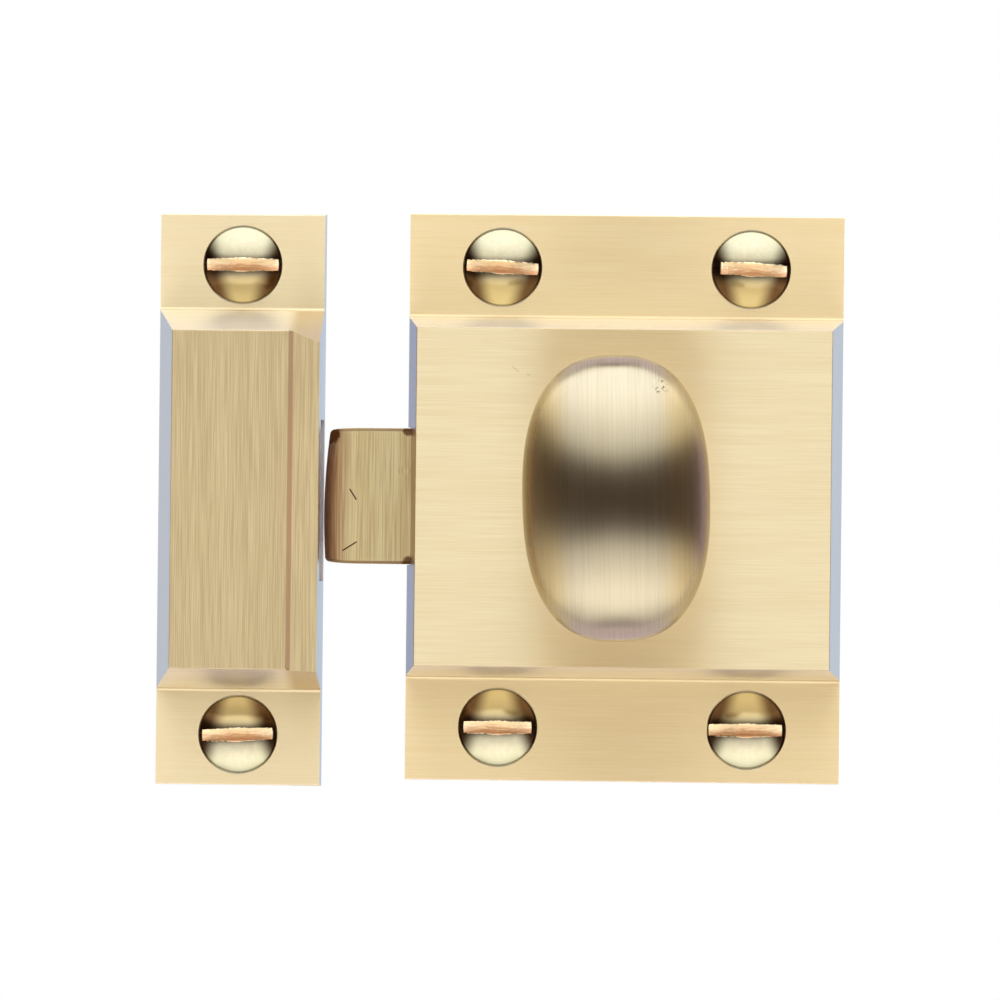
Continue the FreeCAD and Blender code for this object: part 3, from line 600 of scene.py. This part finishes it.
knob_satin, place = new_finish("satin_knob")
x, _, z = split(place)
apart = distance(x - PIT_CENTRE[0], z - PIT_CENTRE[1])
pits = fade(apart, PIT_REACH, PIT_CORE * PIT_REACH) * fade(lumps(place, PIT_SIZE, detail=1.0), *PIT_RANGE)
outward = abs(x / KNOB_HALF_WIDTH) ** KNOB_POWER + abs(z / KNOB_HALF_HEIGHT) ** KNOB_POWER
rim = fade(outward, *RIM_RANGE)
flank = fade(abs(x), *FLANK_RANGE)
brass = satin(place, "YZ",
              blend(flank, KNOB_DARK, KNOB_SIDE_DARK), blend(flank, KNOB_LIGHT, KNOB_SIDE_LIGHT),
              KNOB_ROUGHNESS - (KNOB_ROUGHNESS - RIM_ROUGHNESS) * rim, KNOB_SPREAD,
              marks=pits, mark_colour=PIT, dents=PIT_DEPTH * pits, drag=KNOB_DRAG)
show(knob_satin, brass)
settle(knob, "turn", knob_satin, "satin_brass", "knob")

# %% [markdown]
# ## The wood screws
# Six raised countersunk screws hold the two castings. The photograph shows only the polished heads,
# with coppery slots that a blunt saw left ragged. Each screw is turned from one profile, and its
# thread is a ridge that climbs a fixed step with each turn. A jagged cutter then saws the slot.

# %% Turn one screw
HEAD_RADIUS = 3.45 * MM
HEAD_RISE = 1.2 * MM
DOME_RADIUS = (HEAD_RADIUS ** 2 + HEAD_RISE ** 2) / (2 * HEAD_RISE)
DOME_STEPS = 24
RIM_INSET = 0.02 * MM
SHANK_RADIUS = 1.95 * MM
SHANK_END = 2.7 * MM
THREAD_CREST = 1.74 * MM
THREAD_ROOT = 1.2 * MM
THREAD_STEP = 1.25 * MM
THREAD_FLANK = 0.3
THREAD_END = 14.5 * MM
THREAD_ROWS = 130
SCREW_TIP = 18.0 * MM
TIP_RADIUS = 0.03 * MM
SCREW_SIDES = 48
UNDERHEAD = (
    (HEAD_RADIUS, RIM_INSET), (HEAD_RADIUS - 0.03 * MM, 0.06 * MM),
    (SHANK_RADIUS, HEAD_RADIUS - SHANK_RADIUS), (SHANK_RADIUS, SHANK_END))


def round_ring(depth, radius_at):
    """A ring about the Y axis; radius_at gives the radius for a share of the turn."""
    ring = []
    for i in range(SCREW_SIDES):
        turn = i / SCREW_SIDES
        angle = 2 * math.pi * turn
        radius = radius_at(turn)
        ring.append(Vector((radius * math.cos(angle), depth, radius * math.sin(angle))))
    return ring


def thread_radius(depth, turn):
    """Root of the thread, or its ridge where the climbing line passes."""
    taper = min(1.0, (SCREW_TIP - depth) / (SCREW_TIP - THREAD_END))
    start = min(1.0, (depth - SHANK_END) / THREAD_STEP)
    phase = (depth / THREAD_STEP - turn) % 1.0
    ridge = max(0.0, 1 - abs(phase - 0.5) / THREAD_FLANK) * start
    return max(TIP_RADIUS, taper * (THREAD_ROOT + (THREAD_CREST - THREAD_ROOT) * ridge))


def screw_rings():
    """The dome, the countersink and the thread, from the head to the tip."""
    rings = []
    for i in range(1, DOME_STEPS + 1):
        radius = (HEAD_RADIUS - RIM_INSET) * i / DOME_STEPS
        depth = DOME_RADIUS - HEAD_RISE - math.sqrt(DOME_RADIUS ** 2 - radius ** 2)
        rings.append(round_ring(depth, lambda turn: radius))
    for radius, depth in UNDERHEAD:
        rings.append(round_ring(depth, lambda turn: radius))
    for i in range(1, THREAD_ROWS + 1):
        depth = SHANK_END + (SCREW_TIP - SHANK_END) * i / THREAD_ROWS
        rings.append(round_ring(depth, lambda turn: thread_radius(depth, turn)))
    return rings


print("screw head: a dome of", round(DOME_RADIUS / MM, 2), "mm radius")

# %% Saw a slot
SLOT_HALF = 0.525 * MM
SAW_STATIONS = 40
SAW_REACH = 1.1
SAW_TOP = -2 * HEAD_RISE
SAW_WANDER = 0.03 * MM
SAW_SEED = 7


def ragged_saw(chance, rise, tilt):
    """A cutter for the slot, with uneven walls; its floor rises above the rim and may tilt."""
    rings = []
    for i in range(SAW_STATIONS + 1):
        across = HEAD_RADIUS * SAW_REACH * (2 * i / SAW_STATIONS - 1)
        low, high, bump = (chance.gauss(0, SAW_WANDER) for _ in range(3))
        floor = -rise - tilt * across - abs(bump)
        rings.append([Vector((across, depth, up)) for depth, up in (
            (SAW_TOP, -SLOT_HALF - low), (SAW_TOP, SLOT_HALF + high),
            (floor, SLOT_HALF + high), (floor, -SLOT_HALF - low))])
    return new_piece("saw", *skin(rings))


def cut(piece, cutter):
    """Take the cutter's volume out of the piece, then remove the cutter."""
    taken = piece.modifiers.new("cut", "BOOLEAN")
    taken.operation = "DIFFERENCE"
    taken.solver = "EXACT"
    taken.object = cutter
    bpy.context.view_layer.objects.active = piece
    bpy.ops.object.modifier_apply(modifier=taken.name)
    bpy.data.objects.remove(cutter)


print("saw: cuts", round(2 * SLOT_HALF / MM, 2), "mm wide")

# %% [markdown]
# ## The screws' polish
# A polished head mirrors the room: bright above, golden towards the latch's middle, and nearly black
# at the slot's two ends. The room isn't known, so these tones are painted by place on the head. The
# slot is bare coppery metal with sawn strokes, found by a mask with a ragged edge and a small burr.

# %% Where the slot is
RAGGED_SIZES = (0.2 * MM, 0.35 * MM)
RAGGED_MIDDLE = 0.45
RAGGED_DEPTH = 0.22 * MM
BURR_HALF = 1.3 * MM
BURR_RISE = 0.09 * MM
SLOT_SURE = 2.8 * MM
SLOT_FADE = 0.2 * MM
SLOT_MARGIN = 0.02 * MM
SUNK_DEPTH = 0.05 * MM

screw_polish, place = new_finish("screw_polish")
x, y, z = split(place)
ragged = strokes(place, "X", *RAGGED_SIZES)
burr = fade(abs(x), BURR_HALF, 0.0) * BURR_RISE
edge = SLOT_HALF + burr + (ragged - RAGGED_MIDDLE) * RAGGED_DEPTH
dome = DOME_RADIUS - HEAD_RISE - (DOME_RADIUS ** 2 - x ** 2 - z ** 2) ** 0.5
sunk = fade(y - dome, 0.0, SUNK_DEPTH).higher(fade(abs(x), SLOT_SURE, SLOT_SURE - SLOT_FADE))
in_slot = fade(abs(z) - edge, SLOT_MARGIN, -SLOT_MARGIN) * fade(y, SUNK_DEPTH, 0.0) * sunk
print("mask:", len(place.tree.nodes), "nodes for the slot")

# %% Tones of the head
SCREW_DARK = paint(0.52, 0.46, 0.30)
SCREW_LIGHT = paint(0.61, 0.59, 0.45)
SCREW_GREEN = paint(0.40, 0.41, 0.26)
SCREW_GOLD = paint(0.62, 0.47, 0.20)
SCREW_ENDS = paint(0.042, 0.020, 0.009)
SCREW_BROWN = paint(0.14, 0.075, 0.03)
GREEN_SHARE = 0.5
GOLD_SHARE = 0.8
ENDS_RANGE = (0.36, 0.82)
ENDS_TILT = 0.28
RIMWARD_RANGE = (0.45, 1.0)
INNER_RANGE = (0.0, -0.5)
HEAD_MARGIN = 0.2 * MM
TURNED_SIZE = 0.5 * MM

turned = lumps(place, TURNED_SIZE, detail=4.0)
on_head = fade(y, HEAD_MARGIN, 0.0)
position = Wire.node(place.tree, "ShaderNodeNewGeometry", out="Position")
upper_row = fade(split(position)[2], -MM, MM)
outward = z * (2 * upper_row - 1) / HEAD_RADIUS
# Painted reflections: near black at the slot's ends and golden towards the latch's middle
ends = fade(abs(x) / HEAD_RADIUS - ENDS_TILT * outward, *ENDS_RANGE) * on_head
inner_half = fade(outward, *INNER_RANGE) * on_head
rimward = fade(distance(x, z) / HEAD_RADIUS, *RIMWARD_RANGE)
bright = blend(GREEN_SHARE * rimward, blend(turned, SCREW_DARK, SCREW_LIGHT), SCREW_GREEN)
tone_with_gold_reflection = blend(GOLD_SHARE * inner_half, bright, SCREW_GOLD)
head_colour = blend(ends, tone_with_gold_reflection, blend(inner_half, SCREW_ENDS, SCREW_BROWN))
print("tones:", len(place.tree.nodes), "nodes with the head's colours")

# %% Finish the screws
COPPER_DARK = paint(0.70, 0.42, 0.22)
COPPER_LIGHT = paint(1.00, 0.83, 0.54)
SAWN_SIZES = (0.12 * MM, 1.2 * MM)
SAWN_RANGE = (0.3, 0.7)
UPPER_LIGHT = 0.3
SAWN_RIDGE = 0.03 * MM
SAWN_STRENGTH = 0.7
HEAD_ROUGHNESS = 0.19
SLOT_DULLNESS = 0.55
TURNED_DULLNESS = 0.06
SLOT_BARENESS = 0.9

sawn = strokes(place, "X", *SAWN_SIZES, detail=3.0)
slot_colour = blend(fade(sawn + UPPER_LIGHT * (z / SLOT_HALF), *SAWN_RANGE), COPPER_DARK, COPPER_LIGHT)
show(screw_polish, Wire.node(place.tree, "ShaderNodeBsdfPrincipled", None, {
    "Base Color": blend(in_slot, head_colour, slot_colour),
    "Metallic": 1 - SLOT_BARENESS * in_slot,
    "Roughness": HEAD_ROUGHNESS + SLOT_DULLNESS * in_slot + TURNED_DULLNESS * turned,
    "Normal": ridges(in_slot * sawn, SAWN_STRENGTH, SAWN_RIDGE)}))

# %% Set the six screws
RIM_DEPTH = -2.7 * MM
CASE_PITCH = (22.2 * MM, 41.1 * MM)
KEEPER_PLACE = (-34.35 * MM, -0.45 * MM)
KEEPER_PITCH = 42.0 * MM
# Side, row, turn in degrees, rise of the slot's floor in millimetres, and the floor's tilt
CASE_SLOTS = ((-1, 1, 3.0, 0.15, 0.0), (1, 1, 2.5, 0.32, -0.05),
              (-1, -1, 0.0, 0.25, 0.0), (1, -1, 0.0, 0.10, 0.02))
# Row and the same three numbers
KEEPER_SLOTS = ((1, 0.0, 0.15, 0.0), (-1, -2.0, 0.15, 0.0))

chance = random.Random(SAW_SEED)
screws = [("case_screws", side * CASE_PITCH[0] / 2, row * CASE_PITCH[1] / 2, *slot)
          for side, row, *slot in CASE_SLOTS]
screws += [("keeper_screws", KEEPER_PLACE[0], KEEPER_PLACE[1] + row * KEEPER_PITCH / 2, *slot)
           for row, *slot in KEEPER_SLOTS]
for number, (node, across, up, turn, rise, tilt) in enumerate(screws, start=1):
    screw = new_piece(f"wood_screw_{number}", *skin(screw_rings()))
    cut(screw, ragged_saw(chance, rise * MM, tilt))
    smooth(screw, SHARP_EDGE)
    screw.matrix_world = (Matrix.Translation((across, RIM_DEPTH, up))
                          @ Matrix.Rotation(math.radians(turn), 4, "Y"))
    settle(screw, "case", screw_polish, "screw_brass", node)

# %% [markdown]
# ## The bolt
# The bolt's nose is a worn casting: a pressed corner, a small dent and an end that filing left
# bowed. The CAD mesh has the right outline, but flat faces have no points to press in. So a copy
# of it is sliced by a fine grid over the nose, and its new points are pushed inwards.

# %% Slice the nose
NOSE_INNER = -18.5 * MM
NOSE_TIP = -26.75 * MM
NOSE_HALF = 6.05 * MM
NOSE_FRONT = -5.8 * MM
GRID = 0.22 * MM
SAME_POINT = 1e-7
ON_PLANE = 1e-8


def slice_nose(work, axis, first, last):
    """Cut the nose's faces by evenly spaced planes."""
    normal = Vector((axis == "X", 0, axis == "Z"))
    for i in range(1, int((last - first) / GRID)):
        nose = [face for face in work.faces if face.calc_center_median().x < NOSE_INNER]
        parts = nose + list({edge for face in nose for edge in face.edges})
        parts += list({corner for face in nose for corner in face.verts})
        bmesh.ops.bisect_plane(work, geom=parts, plane_co=normal * (first + i * GRID),
                               plane_no=normal, dist=ON_PLANE)


bolt_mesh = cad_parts["bolt"].data.copy()
bolt = bpy.data.objects.new("bolt_worn", bolt_mesh)
bpy.context.scene.collection.objects.link(bolt)
work = bmesh.new()
work.from_mesh(bolt_mesh)
bmesh.ops.remove_doubles(work, verts=work.verts, dist=SAME_POINT)
slice_nose(work, "X", NOSE_TIP, NOSE_INNER)
slice_nose(work, "Z", -NOSE_HALF, NOSE_HALF)
print("bolt:", len(work.verts), "points after slicing")

# %% Bow and press the nose
BOW_REACH = 4.0 * MM
BOW_INWARD = 0.035
BOW_BACK = 0.30 * MM
BOW_MIDDLE = -1.8 * MM
PRESS_BACK = NOSE_FRONT + 1.2 * MM
NOSE_CORNER = (-26.2 * MM, 5.5 * MM)
CORNER_REACH = 1.1 * MM
CORNER_DEPTH = 0.35 * MM
DENT_PLACE = (-19.9 * MM, 2.3 * MM)
DENT_REACH = 0.5 * MM
DENT_DEPTH = 0.06 * MM
BOLT_SHARP_EDGE = 30.0


def bow(work):
    """Bend the nose's end to a slight curve and narrow it towards the tip, as filing leaves it."""
    for corner in work.verts:
        share = (NOSE_TIP + BOW_REACH - corner.co.x) / BOW_REACH
        if share <= 0:
            continue
        off = (corner.co.z - BOW_MIDDLE) / NOSE_HALF
        corner.co.x += BOW_BACK * off * off * share
        corner.co.z *= 1 - BOW_INWARD * share ** 3


def press(work, centre, reach, amount):
    """Push the nose's front points inwards round a place in the XZ plane."""
    for corner in work.verts:
        if corner.co.y > PRESS_BACK:
            continue
        apart = math.hypot(corner.co.x - centre[0], corner.co.z - centre[1]) / reach
        if apart < 1:
            corner.co.y += amount * (1 - apart * apart) ** 2


bow(work)
press(work, NOSE_CORNER, CORNER_REACH, CORNER_DEPTH)
press(work, DENT_PLACE, DENT_REACH, DENT_DEPTH)
work.to_mesh(bolt_mesh)
work.free()
if "custom_normal" in bolt_mesh.attributes:
    bolt_mesh.attributes.remove(bolt_mesh.attributes["custom_normal"])
smooth(bolt, BOLT_SHARP_EDGE)
print("bolt:", len(bolt_mesh.polygons), "faces, bowed and pressed")

# %% [markdown]
# ## The bolt's wear
# Where the bolt rubs, it has a stained corner and two scratches. Its corners beside the case are
# painted dark, as shade, and its tip is painted brown, as the dark reflection of its rounded end.
# Each is a mask by place, roughened by noise so that no edge looks drawn. Depth keeps these on the
# front, where the real ones are.

# %% Stains, scratches and painted shade
STAIN_SIZE = 0.45 * MM
CORNER_RAGGED = 0.8 * MM
CORNER_STAIN = (0.95 * MM, 0.75 * MM)
BOLT_SCRATCHES = (((-24.4, 0.6), (-23.8, -0.35)), ((-25.0, -4.9), (-23.75, -4.1)))
SCRATCH_WIDTH = 0.09 * MM
# Beside the case the bolt's corners are painted dark, as shade
CASE_SIDE = (-19.2 * MM, 5.8 * MM)
SIDE_RAGGED = 0.6 * MM
SIDE_SHADE_RANGE = (0.6 * MM, 0.3 * MM)
SIDE_SHARE = 0.8
STAIN_BACK = (NOSE_FRONT + 2.4 * MM, NOSE_FRONT + 1.6 * MM)

bolt_satin, place = new_finish("satin_bolt")
x, depth, z = split(place)
uneven = lumps(place, STAIN_SIZE, detail=3.0) - NOISE_MIDDLE
from_corner = distance(x - NOSE_CORNER[0], z - NOSE_CORNER[1])
stains_and_side_shade = fade(from_corner + uneven * CORNER_RAGGED, *CORNER_STAIN)
stains_and_side_shade = stains_and_side_shade.higher(scratches(place, BOLT_SCRATCHES, SCRATCH_WIDTH))
for up in (-1, 1):
    from_case = distance(x - CASE_SIDE[0], z - up * CASE_SIDE[1])
    stains_and_side_shade = stains_and_side_shade.higher(SIDE_SHARE * fade(from_case + uneven * SIDE_RAGGED, *SIDE_SHADE_RANGE))
stains_and_side_shade = stains_and_side_shade * fade(depth, *STAIN_BACK)
print("mask:", len(place.tree.nodes), "nodes for the bolt's stains")

# %% Finish the bolt
BOLT_DARK = paint(0.84, 0.71, 0.40)
BOLT_LIGHT = paint(1.00, 0.92, 0.60)
# One colour for the real stains and for the painted shade beside the case
BOLT_STAIN_AND_SHADE = paint(0.20, 0.08, 0.03)
# The tip's brown is a painted dark reflection of its rounded end
BOLT_TIP_SHADE = paint(0.40, 0.11, 0.06)
# The rounded edges are painted darker, as shade
BOLT_EDGE_SHADE = paint(0.36, 0.27, 0.15)
STREAK_SIZES = (0.10 * MM, 8 * MM)
STREAK_RANGE = (0.52, 0.40)
STREAK_SHARE = 0.10
TIP_RAGGED = 1.4 * MM
TIP_RANGE = (NOSE_TIP + 3.1 * MM, NOSE_TIP - 0.3 * MM)
TIP_SHARE = 0.85
EDGE_FROM_FRONT = (0.1, 0.3)
EDGE_FROM_SIDE = (0.95, 0.85)
STAIN_DEPTH = 4

streaks = strokes(place, "Z", *STREAK_SIZES)
# The tip's painted dark reflection fades in over a ragged edge
tip = fade(x + (streaks - NOISE_MIDDLE) * TIP_RAGGED, *TIP_RANGE)
tip_shade_and_streaks = (TIP_SHARE * tip).higher(STREAK_SHARE * fade(streaks, *STREAK_RANGE))
_, _, upward = facing(place)
# The rounded top and bottom edges are painted darker, as shade, in place of their highlight
edges = fade(abs(upward), *EDGE_FROM_FRONT) * fade(abs(upward), *EDGE_FROM_SIDE)
dark, light = (blend(edges, blend(tip_shade_and_streaks, colour, BOLT_TIP_SHADE), BOLT_EDGE_SHADE)
               for colour in (BOLT_DARK, BOLT_LIGHT))
show(bolt_satin, satin(place, "Z", dark, light, FACE_ROUGHNESS, FACE_SPREAD,
                       marks=stains_and_side_shade, mark_colour=BOLT_STAIN_AND_SHADE, dents=STAIN_DEPTH * stains_and_side_shade))
settle(bolt, "bolt", bolt_satin, "satin_brass", "bolt")

# %% [markdown]
# ## The spring
# A coil spring behind the bolt throws it out. Real ones have their end turns closed up so that they
# stand square. A helix with a varying climb gives that, and the tube's rings follow it.

# %% Model the spring
SPRING_START = 5.55 * MM
SPRING_END = 16.85 * MM
SPRING_DEPTH = -3.6 * MM
COIL_RADIUS = 2.15 * MM
WIRE_RADIUS = 0.34 * MM
TURNS = 5.5
TURN_STEPS = 48
WIRE_SIDES = 12
ALONG = Vector((1, 0, 0))


def climb(turn):
    """How far along X the wire's middle is after some turns: closed ends, open middle."""
    closed = 2 * WIRE_RADIUS
    rise = SPRING_END - SPRING_START - 2 * WIRE_RADIUS
    open_step = (rise - 2 * closed) / (TURNS - 2)
    middle = min(max(turn - 1, 0), TURNS - 2)
    return closed * min(turn, 1) + open_step * middle + closed * max(turn - TURNS + 1, 0)


spring_rings = []
wire_angles = [2 * math.pi * k / WIRE_SIDES for k in range(WIRE_SIDES)]
for i in range(int(TURNS * TURN_STEPS) + 1):
    turn = i / TURN_STEPS
    angle = 2 * math.pi * turn
    outward = Vector((0, math.cos(angle), math.sin(angle)))
    middle = Vector((SPRING_START + WIRE_RADIUS + climb(turn), SPRING_DEPTH, 0)) + COIL_RADIUS * outward
    spring_rings.append([
        middle + WIRE_RADIUS * (math.cos(round_wire) * outward + math.sin(round_wire) * ALONG)
        for round_wire in wire_angles])
spring = new_piece("spring_coil", *skin(spring_rings))
print("spring:", TURNS, "turns in", len(spring_rings), "rings")

# %% Finish the spring
STEEL_DARK = paint(0.36, 0.37, 0.39)
STEEL_LIGHT = paint(0.56, 0.57, 0.59)
DRAWN_SIZE = 0.25 * MM
SPRING_ROUGHNESS = 0.24
DRAWN_DULLNESS = 0.14

drawn_steel, place = new_finish("drawn_steel")
drawn = lumps(place, DRAWN_SIZE, detail=4.0)
show(drawn_steel, Wire.node(place.tree, "ShaderNodeBsdfPrincipled", None, {
    "Base Color": blend(drawn, STEEL_DARK, STEEL_LIGHT), "Metallic": 1.0,
    "Roughness": SPRING_ROUGHNESS + DRAWN_DULLNESS * drawn}))
settle(spring, "case", drawn_steel, "spring_steel", "bolt_spring")
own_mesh(spring)

# %% [markdown]
# ## The inner works and the back
# The spindle and cam are turned or stamped steel, and the washer, the back plate and its screws are
# brass as it came from the mill. Little of them is seen, so their CAD meshes stay. The steel gets
# fine rings about the spindle's axis, and the brass gets rolling marks and small stains.

# %% Finish the inner works
SHEET_DARK = paint(0.52, 0.38, 0.16)
SHEET_LIGHT = paint(0.78, 0.60, 0.30)
SHEET_STAIN = paint(0.30, 0.20, 0.09)
SHEET_ROUGHNESS = 0.32
STEEL_ROUGHNESS = 0.22
ROLLED_SIZES = (0.2 * MM, 12 * MM)
ROLLED_SHARE = 0.6
ROLLED_RANGE = (0.3, 0.7)
ROLLED_RIDGE = 0.005 * MM
ROLLED_STRENGTH = 0.5
CLOUDY_SIZE = 4 * MM
CLOUDY_DULLNESS = 0.12
CLOUDY_STAIN = (0.58, 0.75)
STAIN_SHARE = 0.6


def mill_finish(name, dark, light, stain_colour, roughness, along):
    """Sheet or bar as it came from the mill: rolling marks, a little unevenness and stains."""
    made, place = new_finish(name)
    rolled = strokes(place, along, *ROLLED_SIZES, detail=3.0)
    cloudy = lumps(place, CLOUDY_SIZE, detail=5.0)
    tone = fade(ROLLED_SHARE * rolled + (1 - ROLLED_SHARE) * cloudy, *ROLLED_RANGE)
    stained = STAIN_SHARE * fade(cloudy, *CLOUDY_STAIN)
    return show(made, Wire.node(place.tree, "ShaderNodeBsdfPrincipled", None, {
        "Base Color": blend(stained, blend(tone, dark, light), stain_colour), "Metallic": 1.0,
        "Roughness": roughness + CLOUDY_DULLNESS * cloudy,
        "Normal": ridges(rolled, ROLLED_STRENGTH, ROLLED_RIDGE)}))


mill_brass = mill_finish("mill_brass", SHEET_DARK, SHEET_LIGHT, SHEET_STAIN, SHEET_ROUGHNESS, "X")
turned_steel = mill_finish("turned_steel", STEEL_DARK, STEEL_LIGHT, STEEL_DARK, STEEL_ROUGHNESS, "XZ")
for node in ("back_plate", "knob_washer", "back_plate_screws"):
    dress(node, mill_brass)
for node in ("spindle", "cam"):
    dress(node, turned_steel)

# %% [markdown]
# ## Studio
# Brushed metal is drawn by what it reflects. In the photograph the knob mirrors a broad soft box
# above the camera, another below it and darkness between them. Lamps of that size would each need
# placing and hiding, so the world paints the boxes by direction: X to the right, Y away, Z up.

# %% Soft boxes in a dark room
BOX_MIDDLE = paint(2.12, 2.14, 2.22)
BOX_EDGE = paint(2.12, 1.98, 1.60)
BOX_LOW = paint(2.02, 1.94, 1.86)
DARK_ROOM = paint(0.080, 0.052, 0.040)
SIDE_DIMMING = 0.25
DIMMED = (0.75, 1.0)
LEFT_GAP = 0.16
LEFT_RANGE = (-0.75, -1.0)
RIGHT_GAP = 0.07
RIGHT_WIDENING = 0.15
RIGHT_RANGE = (0.3, 0.9)
SIDE_WRAP = 0.4
WRAP_RANGE = (0.45, 0.95)
TOP_EDGE = (0.21, 0.37)
TOP_GLOW = (0.36, 0.85)
TOP_SHARE = 0.64
TOP_END = (0.34, 0.10)
LOW_EDGE = (-0.20, -0.38)
LOW_GLOW = (-0.36, -0.75)
LOW_SHARE = 0.6
LOW_END = (0.05, -0.45)

scene = bpy.context.scene
scene.view_settings.view_transform = "Standard"
scene.world = bpy.data.worlds.new("studio")
scene.world.use_nodes = True
tree = scene.world.node_tree
tree.nodes.clear()
x, y, z = split(Wire.node(tree, "ShaderNodeTexCoord", out="Generated"))
rightward = fade(x, *RIGHT_RANGE)
height = (z * (1 + RIGHT_WIDENING * rightward) - RIGHT_GAP * rightward
          - LEFT_GAP * fade(x, *LEFT_RANGE))
aside = 1 - SIDE_DIMMING * fade(abs(x), *DIMMED)
away = y - SIDE_WRAP * fade(abs(x), *WRAP_RANGE)


def soft_box(edge, glow, share, end):
    """A box whose light rises at its edge and goes on rising to its middle, up to an end behind."""
    rise = share * fade(height, *edge) + (1 - share) * fade(height, *glow)
    return rise * aside * fade(away, *end)


top = soft_box(TOP_EDGE, TOP_GLOW, TOP_SHARE, TOP_END)
low = soft_box(LOW_EDGE, LOW_GLOW, LOW_SHARE, LOW_END)
room = blend(low, blend(top, DARK_ROOM, blend(top, BOX_EDGE, BOX_MIDDLE)), BOX_LOW)
print("world:", len(tree.nodes), "nodes for the soft boxes")

# %% [markdown]
# ## Backdrop
# The camera sees plain white round the latch. The metal's side walls and the knob's rim mirror what
# is behind it, which is cool at the latch's own level and warmer elsewhere. The kind of ray tells
# the two apart, so the white costs no extra light on the brass.

# %% Paint the backdrop
SIDE_BACKDROP = paint(0.52, 0.70, 1.06)
RIM_BACKDROP = paint(0.50, 0.42, 0.66)
WARM_BACKDROP = paint(0.90, 0.84, 0.78)
HIGH_BACKDROP = paint(0.88, 0.74, 0.86)
WHITE = paint(1.0, 1.0, 1.0)
SIDE_TO_RIM = (0.45, 0.62)
LEVEL_TO_WARM = (0.12, 0.28)
HIGH_RANGE = (0.55, 0.75)
HIGH_WIDTH = (0.6, 0.4)
BEHIND = (0.15, 0.5)
BEHIND_LOW = 0.35
LOW_RANGE = (0.0, -0.5)

camera_ray, glossy_ray, through_ray = (
    Wire.node(tree, "ShaderNodeLightPath", out=kind)
    for kind in ("Is Camera Ray", "Is Glossy Ray", "Is Transmission Ray"))
level = blend(fade(abs(x), *SIDE_TO_RIM), SIDE_BACKDROP, RIM_BACKDROP)
high = fade(abs(z), *HIGH_RANGE) * fade(abs(x), *HIGH_WIDTH)
mirrored = blend(high, blend(fade(abs(z), *LEVEL_TO_WARM), level, WARM_BACKDROP), HIGH_BACKDROP)
backdrop = blend(glossy_ray, WHITE, mirrored)
behind = fade(y + BEHIND_LOW * fade(z, *LOW_RANGE), *BEHIND)
seen = camera_ray.higher(through_ray).higher(glossy_ray * behind * (1 - (top + low)))
sky = Wire.node(tree, "ShaderNodeBackground", None,
                {"Color": blend(seen, room, backdrop), "Strength": 1.0})
Wire.node(tree, "ShaderNodeOutputWorld", None, {"Surface": sky})
print("world:", len(tree.nodes), "nodes with the backdrop")

# %% [markdown]
# ## Floor and lamp
# A pale floor lies below the latch and takes a faint shadow from one soft lamp overhead. Far from
# the latch the floor glows for the camera, so it runs into the white with no horizon. Neither the
# floor nor the lamp is mirrored in the brass, which has its own boxes to show.

# %% Lay the floor
FLOOR_HEIGHT = -66 * MM
FLOOR_HALF = 2.0
FLOOR_PALE = paint(0.8, 0.8, 0.8)
FLOOR_GLOW = 0.6
SHADOW_REACH = 0.12

floor_paint, place = new_finish("floor_paint")
x, y, _ = split(place)
far = fade(distance(x, y), SHADOW_REACH, 2 * SHADOW_REACH)
camera_ray = Wire.node(place.tree, "ShaderNodeLightPath", out="Is Camera Ray")
matt = Wire.node(place.tree, "ShaderNodeBsdfDiffuse", None, {"Color": FLOOR_PALE})
glow = Wire.node(place.tree, "ShaderNodeEmission", None, {"Color": WHITE})
show(floor_paint, mixed(camera_ray * (FLOOR_GLOW + (1 - FLOOR_GLOW) * far), matt, glow))
floor = new_piece("floor", [Vector((right * FLOOR_HALF, back * FLOOR_HALF, FLOOR_HEIGHT))
                            for right, back in ((-1, -1), (1, -1), (1, 1), (-1, 1))], [(0, 1, 2, 3)])
floor.data.materials.append(floor_paint)
floor.visible_glossy = False

# %% Hang the lamp
LAMP_SIZE = 0.5
LAMP_PLACE = (0, -0.1, 0.7)
LAMP_POWER = 9.0

lamp = bpy.data.objects.new("overhead", bpy.data.lights.new("overhead", "AREA"))
lamp.data.size = LAMP_SIZE
lamp.data.energy = LAMP_POWER
lamp.location = LAMP_PLACE
lamp.visible_glossy = False
scene.collection.objects.link(lamp)
print("lamp:", LAMP_POWER, "W at", LAMP_PLACE)

# %% [markdown]
# ## Camera
# The photograph was taken level with the latch and from a couple of degrees to its right, with a
# long lens. The camera looks at a point on the flanges that lies in the middle of the picture, and
# rolls by a hair, as the photograph does.

# %% Place the camera
AIM = Vector((-11.11, -2.8, -0.24)) * MM
AZIMUTH = math.radians(2.0)
DISTANCE = 640 * MM
VIEW_WIDTH = 89.35 * MM
ROLL = math.radians(0.62)
FAR_LIMIT = 100.0

camera = bpy.data.objects.new("camera", bpy.data.cameras.new("camera"))
scene.collection.objects.link(camera)
scene.camera = camera
camera.data.lens = camera.data.sensor_width * DISTANCE / VIEW_WIDTH
back = Vector((math.sin(AZIMUTH), -math.cos(AZIMUTH), 0))
camera.matrix_world = (Matrix.Translation(AIM + DISTANCE * back)
                       @ (-back).to_track_quat("-Z", "Y").to_matrix().to_4x4()
                       @ Matrix.Rotation(ROLL, 4, "Z"))
camera.data.clip_end = FAR_LIMIT
print("camera:", round(camera.data.lens, 1), "mm lens at", round(DISTANCE, 3), "m")
